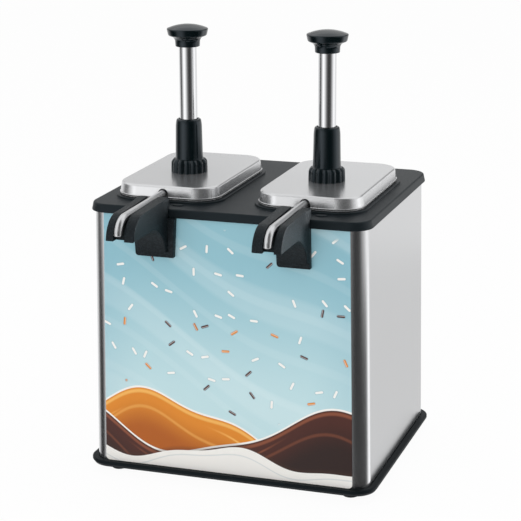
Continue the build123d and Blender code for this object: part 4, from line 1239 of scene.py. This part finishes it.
HIGH_LIGHT = (
    (-180, 0.7), (-177, 0.64), (-150, 0.62), (-120, 0.8), (-60, 1.0), (-40, 0.8), (-20, 0.25),
    (0, 0.1), (35, 0.1), (55, 0.3), (75, 0.8), (112, 0.8), (126, 0.35), (150, 0.3), (160, 0.6),
    (168, 0.8), (176, 0.78), (180, 0.7),
)


def seen_directly(finish):
    """1 for a ray from the camera, a mirror or glass, which then sees the white background."""
    seen = finish.node("ShaderNodeLightPath", output="Is Camera Ray")
    glossy, through = seen.output("Is Glossy Ray"), seen.output("Is Transmission Ray")
    return seen.floor_at(glossy).floor_at(through)


def staged(name, shape, hidden):
    """An object of the stage, which the rays named in hidden don't meet."""
    made = new_object(name, as_mesh(name, shape))
    set_all(made, **{"visible_" + kind: False for kind in hidden})
    return made


def card(name, shape, finish, strength):
    """A glowing card that only reflections see."""
    made = staged(name, shape, ("camera", "diffuse", "transmission", "volume_scatter", "shadow"))
    material = finish.surface(finish.glow(strength))
    material.cycles.emission_sampling = "NONE"
    made.data.materials.append(material)


def by_degrees(finish, turn, lights):
    """Brightness round the object from a table of (degrees from the camera, brightness)."""
    ramp = finish.node("ShaderNodeValToRGB", None, {0: turn})
    set_stops(ramp.socket.node.color_ramp, [((at + 180) / 360, light / 2) for at, light in lights])
    return ramp * 2


def add_cards():
    """The studio that the metal reflects: light and dark all round, and dark overhead."""
    radius, reach = 3.4, 2.4
    finish = Finish("surround_card")
    x, y, z = finish.axes(1.0)
    round_from_camera = (y.angle_over(x) + math.radians(90 - CAMERA_YAW)) / (2 * math.pi)
    turn = (round_from_camera + 0.5).fraction()
    lower, upper, high = (
        by_degrees(finish, turn, lights) for lights in (LOWER_LIGHT, UPPER_LIGHT, HIGH_LIGHT)
    )
    above_lower, above_upper = z.step_up(-0.585, -0.56), z.step_up(0.8, 1.0)
    level = lower * (1 - above_lower) + upper * (above_lower - above_upper) + high * above_upper
    card("surround_card", turned([(radius, -reach), (radius, reach)], 90), finish, level)
    card("overhead_card", plate(3.2, 2.7, 0, 2.4, 1.2, -1.5), Finish("overhead_card"), 0.12)


def add_floor():
    """A pale floor that goes over into the white background."""
    finish = Finish("floor")
    pale = finish.blend(finish.noise(3.0), (0.9, 0.9, 0.9, 1), (0.93, 0.93, 0.93, 1))
    lit = finish.node("ShaderNodeBsdfDiffuse", None, {"Color": pale})
    seen = seen_directly(finish) * 0.96
    mixed = finish.node("ShaderNodeMixShader", None, {0: seen, 1: lit, 2: finish.glow(1.0)})
    made = staged("floor", plate(12, 12, 0), ("glossy",))
    made.data.materials.append(finish.surface(mixed))


def add_world():
    """Soft light all round, and plain white where it is seen."""
    studio = bpy.data.worlds.new("studio")
    bpy.context.scene.world = studio
    finish = Finish("studio", studio)
    soft, plain = (
        finish.node("ShaderNodeBackground", None, {"Color": (1, 1, 1, 1), "Strength": strength})
        for strength in (0.62, 1.0)
    )
    mixed = finish.node("ShaderNodeMixShader", None, {0: seen_directly(finish), 1: soft, 2: plain})
    finish.surface(mixed, "ShaderNodeOutputWorld")


def lamp(name, place, aim, size, power, mirrored=False):
    data = set_all(bpy.data.lights.new(name, "AREA"), shape="DISK", size=size, energy=power)
    turn = (Vector(aim) - Vector(place)).to_track_quat("-Z", "Y").to_euler()
    made = set_all(new_object(name, data), location=place, rotation_euler=turn)
    return set_all(made, visible_glossy=mirrored, visible_camera=False)


def add_lamps():
    """Three soft lamps, and one that grazes only the pebbled sides of the spouts."""
    lamp("key", (-0.25, -2.9, 1.0), (0, 0, 0.2), 2.8, 27)
    lamp("fill", (2.7, -0.1, 0.7), (0, 0, 0.25), 1.2, 12)
    lamp("top", (0.1, 0.4, 2.8), (0, 0, 0.3), 2.0, 17)
    graze = lamp("graze", (2.25, 0.97, 0.62), (0, -0.1, 0.33), 0.8, 80, mirrored=True)
    lit = bpy.data.collections.new("lit_by_graze")
    for side in WELL_X:
        lit.objects.link(bpy.data.objects[f"spout_moulding_{side}"])
    graze.light_linking.receiver_collection = lit


def add_camera():
    data = bpy.data.cameras.new("camera")
    set_all(data, lens=CAMERA_LENS, sensor_width=36.0, sensor_fit="HORIZONTAL", clip_end=50.0)
    place = Matrix.Translation(CAMERA_AT)
    for degrees, axis in ((CAMERA_YAW, "Z"), (90 - CAMERA_DOWN, "X"), (-CAMERA_ROLL, "Z")):
        place = place @ Matrix.Rotation(math.radians(degrees), 4, axis)
    bpy.context.scene.camera = set_all(new_object("camera", data), matrix_world=place)


class WARMER_OT_stage(Maker, bpy.types.Operator):
    """Pale floor, white surroundings, soft lamps, reflection cards and the camera"""

    bl_idname = "warmer.stage"
    bl_label = "Stage"

    def make(self, sizes, pump):
        bpy.context.scene.view_settings.view_transform = "Standard"
        for add in (add_floor, add_world, add_lamps, add_cards, add_camera):
            add()


MAKERS = Maker.__subclasses__()  # in the order that they stand here
GROUPS = {"warmer_housing": HousingSizes, "warmer_pump": PumpSizes, "warmer_colours": Colours}


class WARMER_PT_pieces(bpy.types.Panel):
    """Lists the sizes, the colours and the pieces"""

    bl_label = "Topping warmer"
    bl_space_type = "VIEW_3D"
    bl_region_type = "UI"
    bl_category = "Warmer"

    def draw(self, context):
        for key in GROUPS:
            group = getattr(context.scene, key)
            box = self.layout.box()
            for name in group.__annotations__:
                box.prop(group, name)
        for maker in MAKERS:
            self.layout.operator(maker.bl_idname)


def register():
    for name, group in GROUPS.items():
        bpy.utils.register_class(group)
        setattr(bpy.types.Scene, name, bpy.props.PointerProperty(type=group))
    for kind in (*MAKERS, WARMER_PT_pieces):
        bpy.utils.register_class(kind)


def unregister():
    for kind in (WARMER_PT_pieces, *reversed(MAKERS)):
        bpy.utils.unregister_class(kind)
    for name, group in GROUPS.items():
        delattr(bpy.types.Scene, name)
        bpy.utils.unregister_class(group)


def main():
    register()
    for maker in MAKERS:
        group, name = maker.bl_idname.split(".")
        getattr(getattr(bpy.ops, group), name)()


if __name__ == "__main__":
    main()
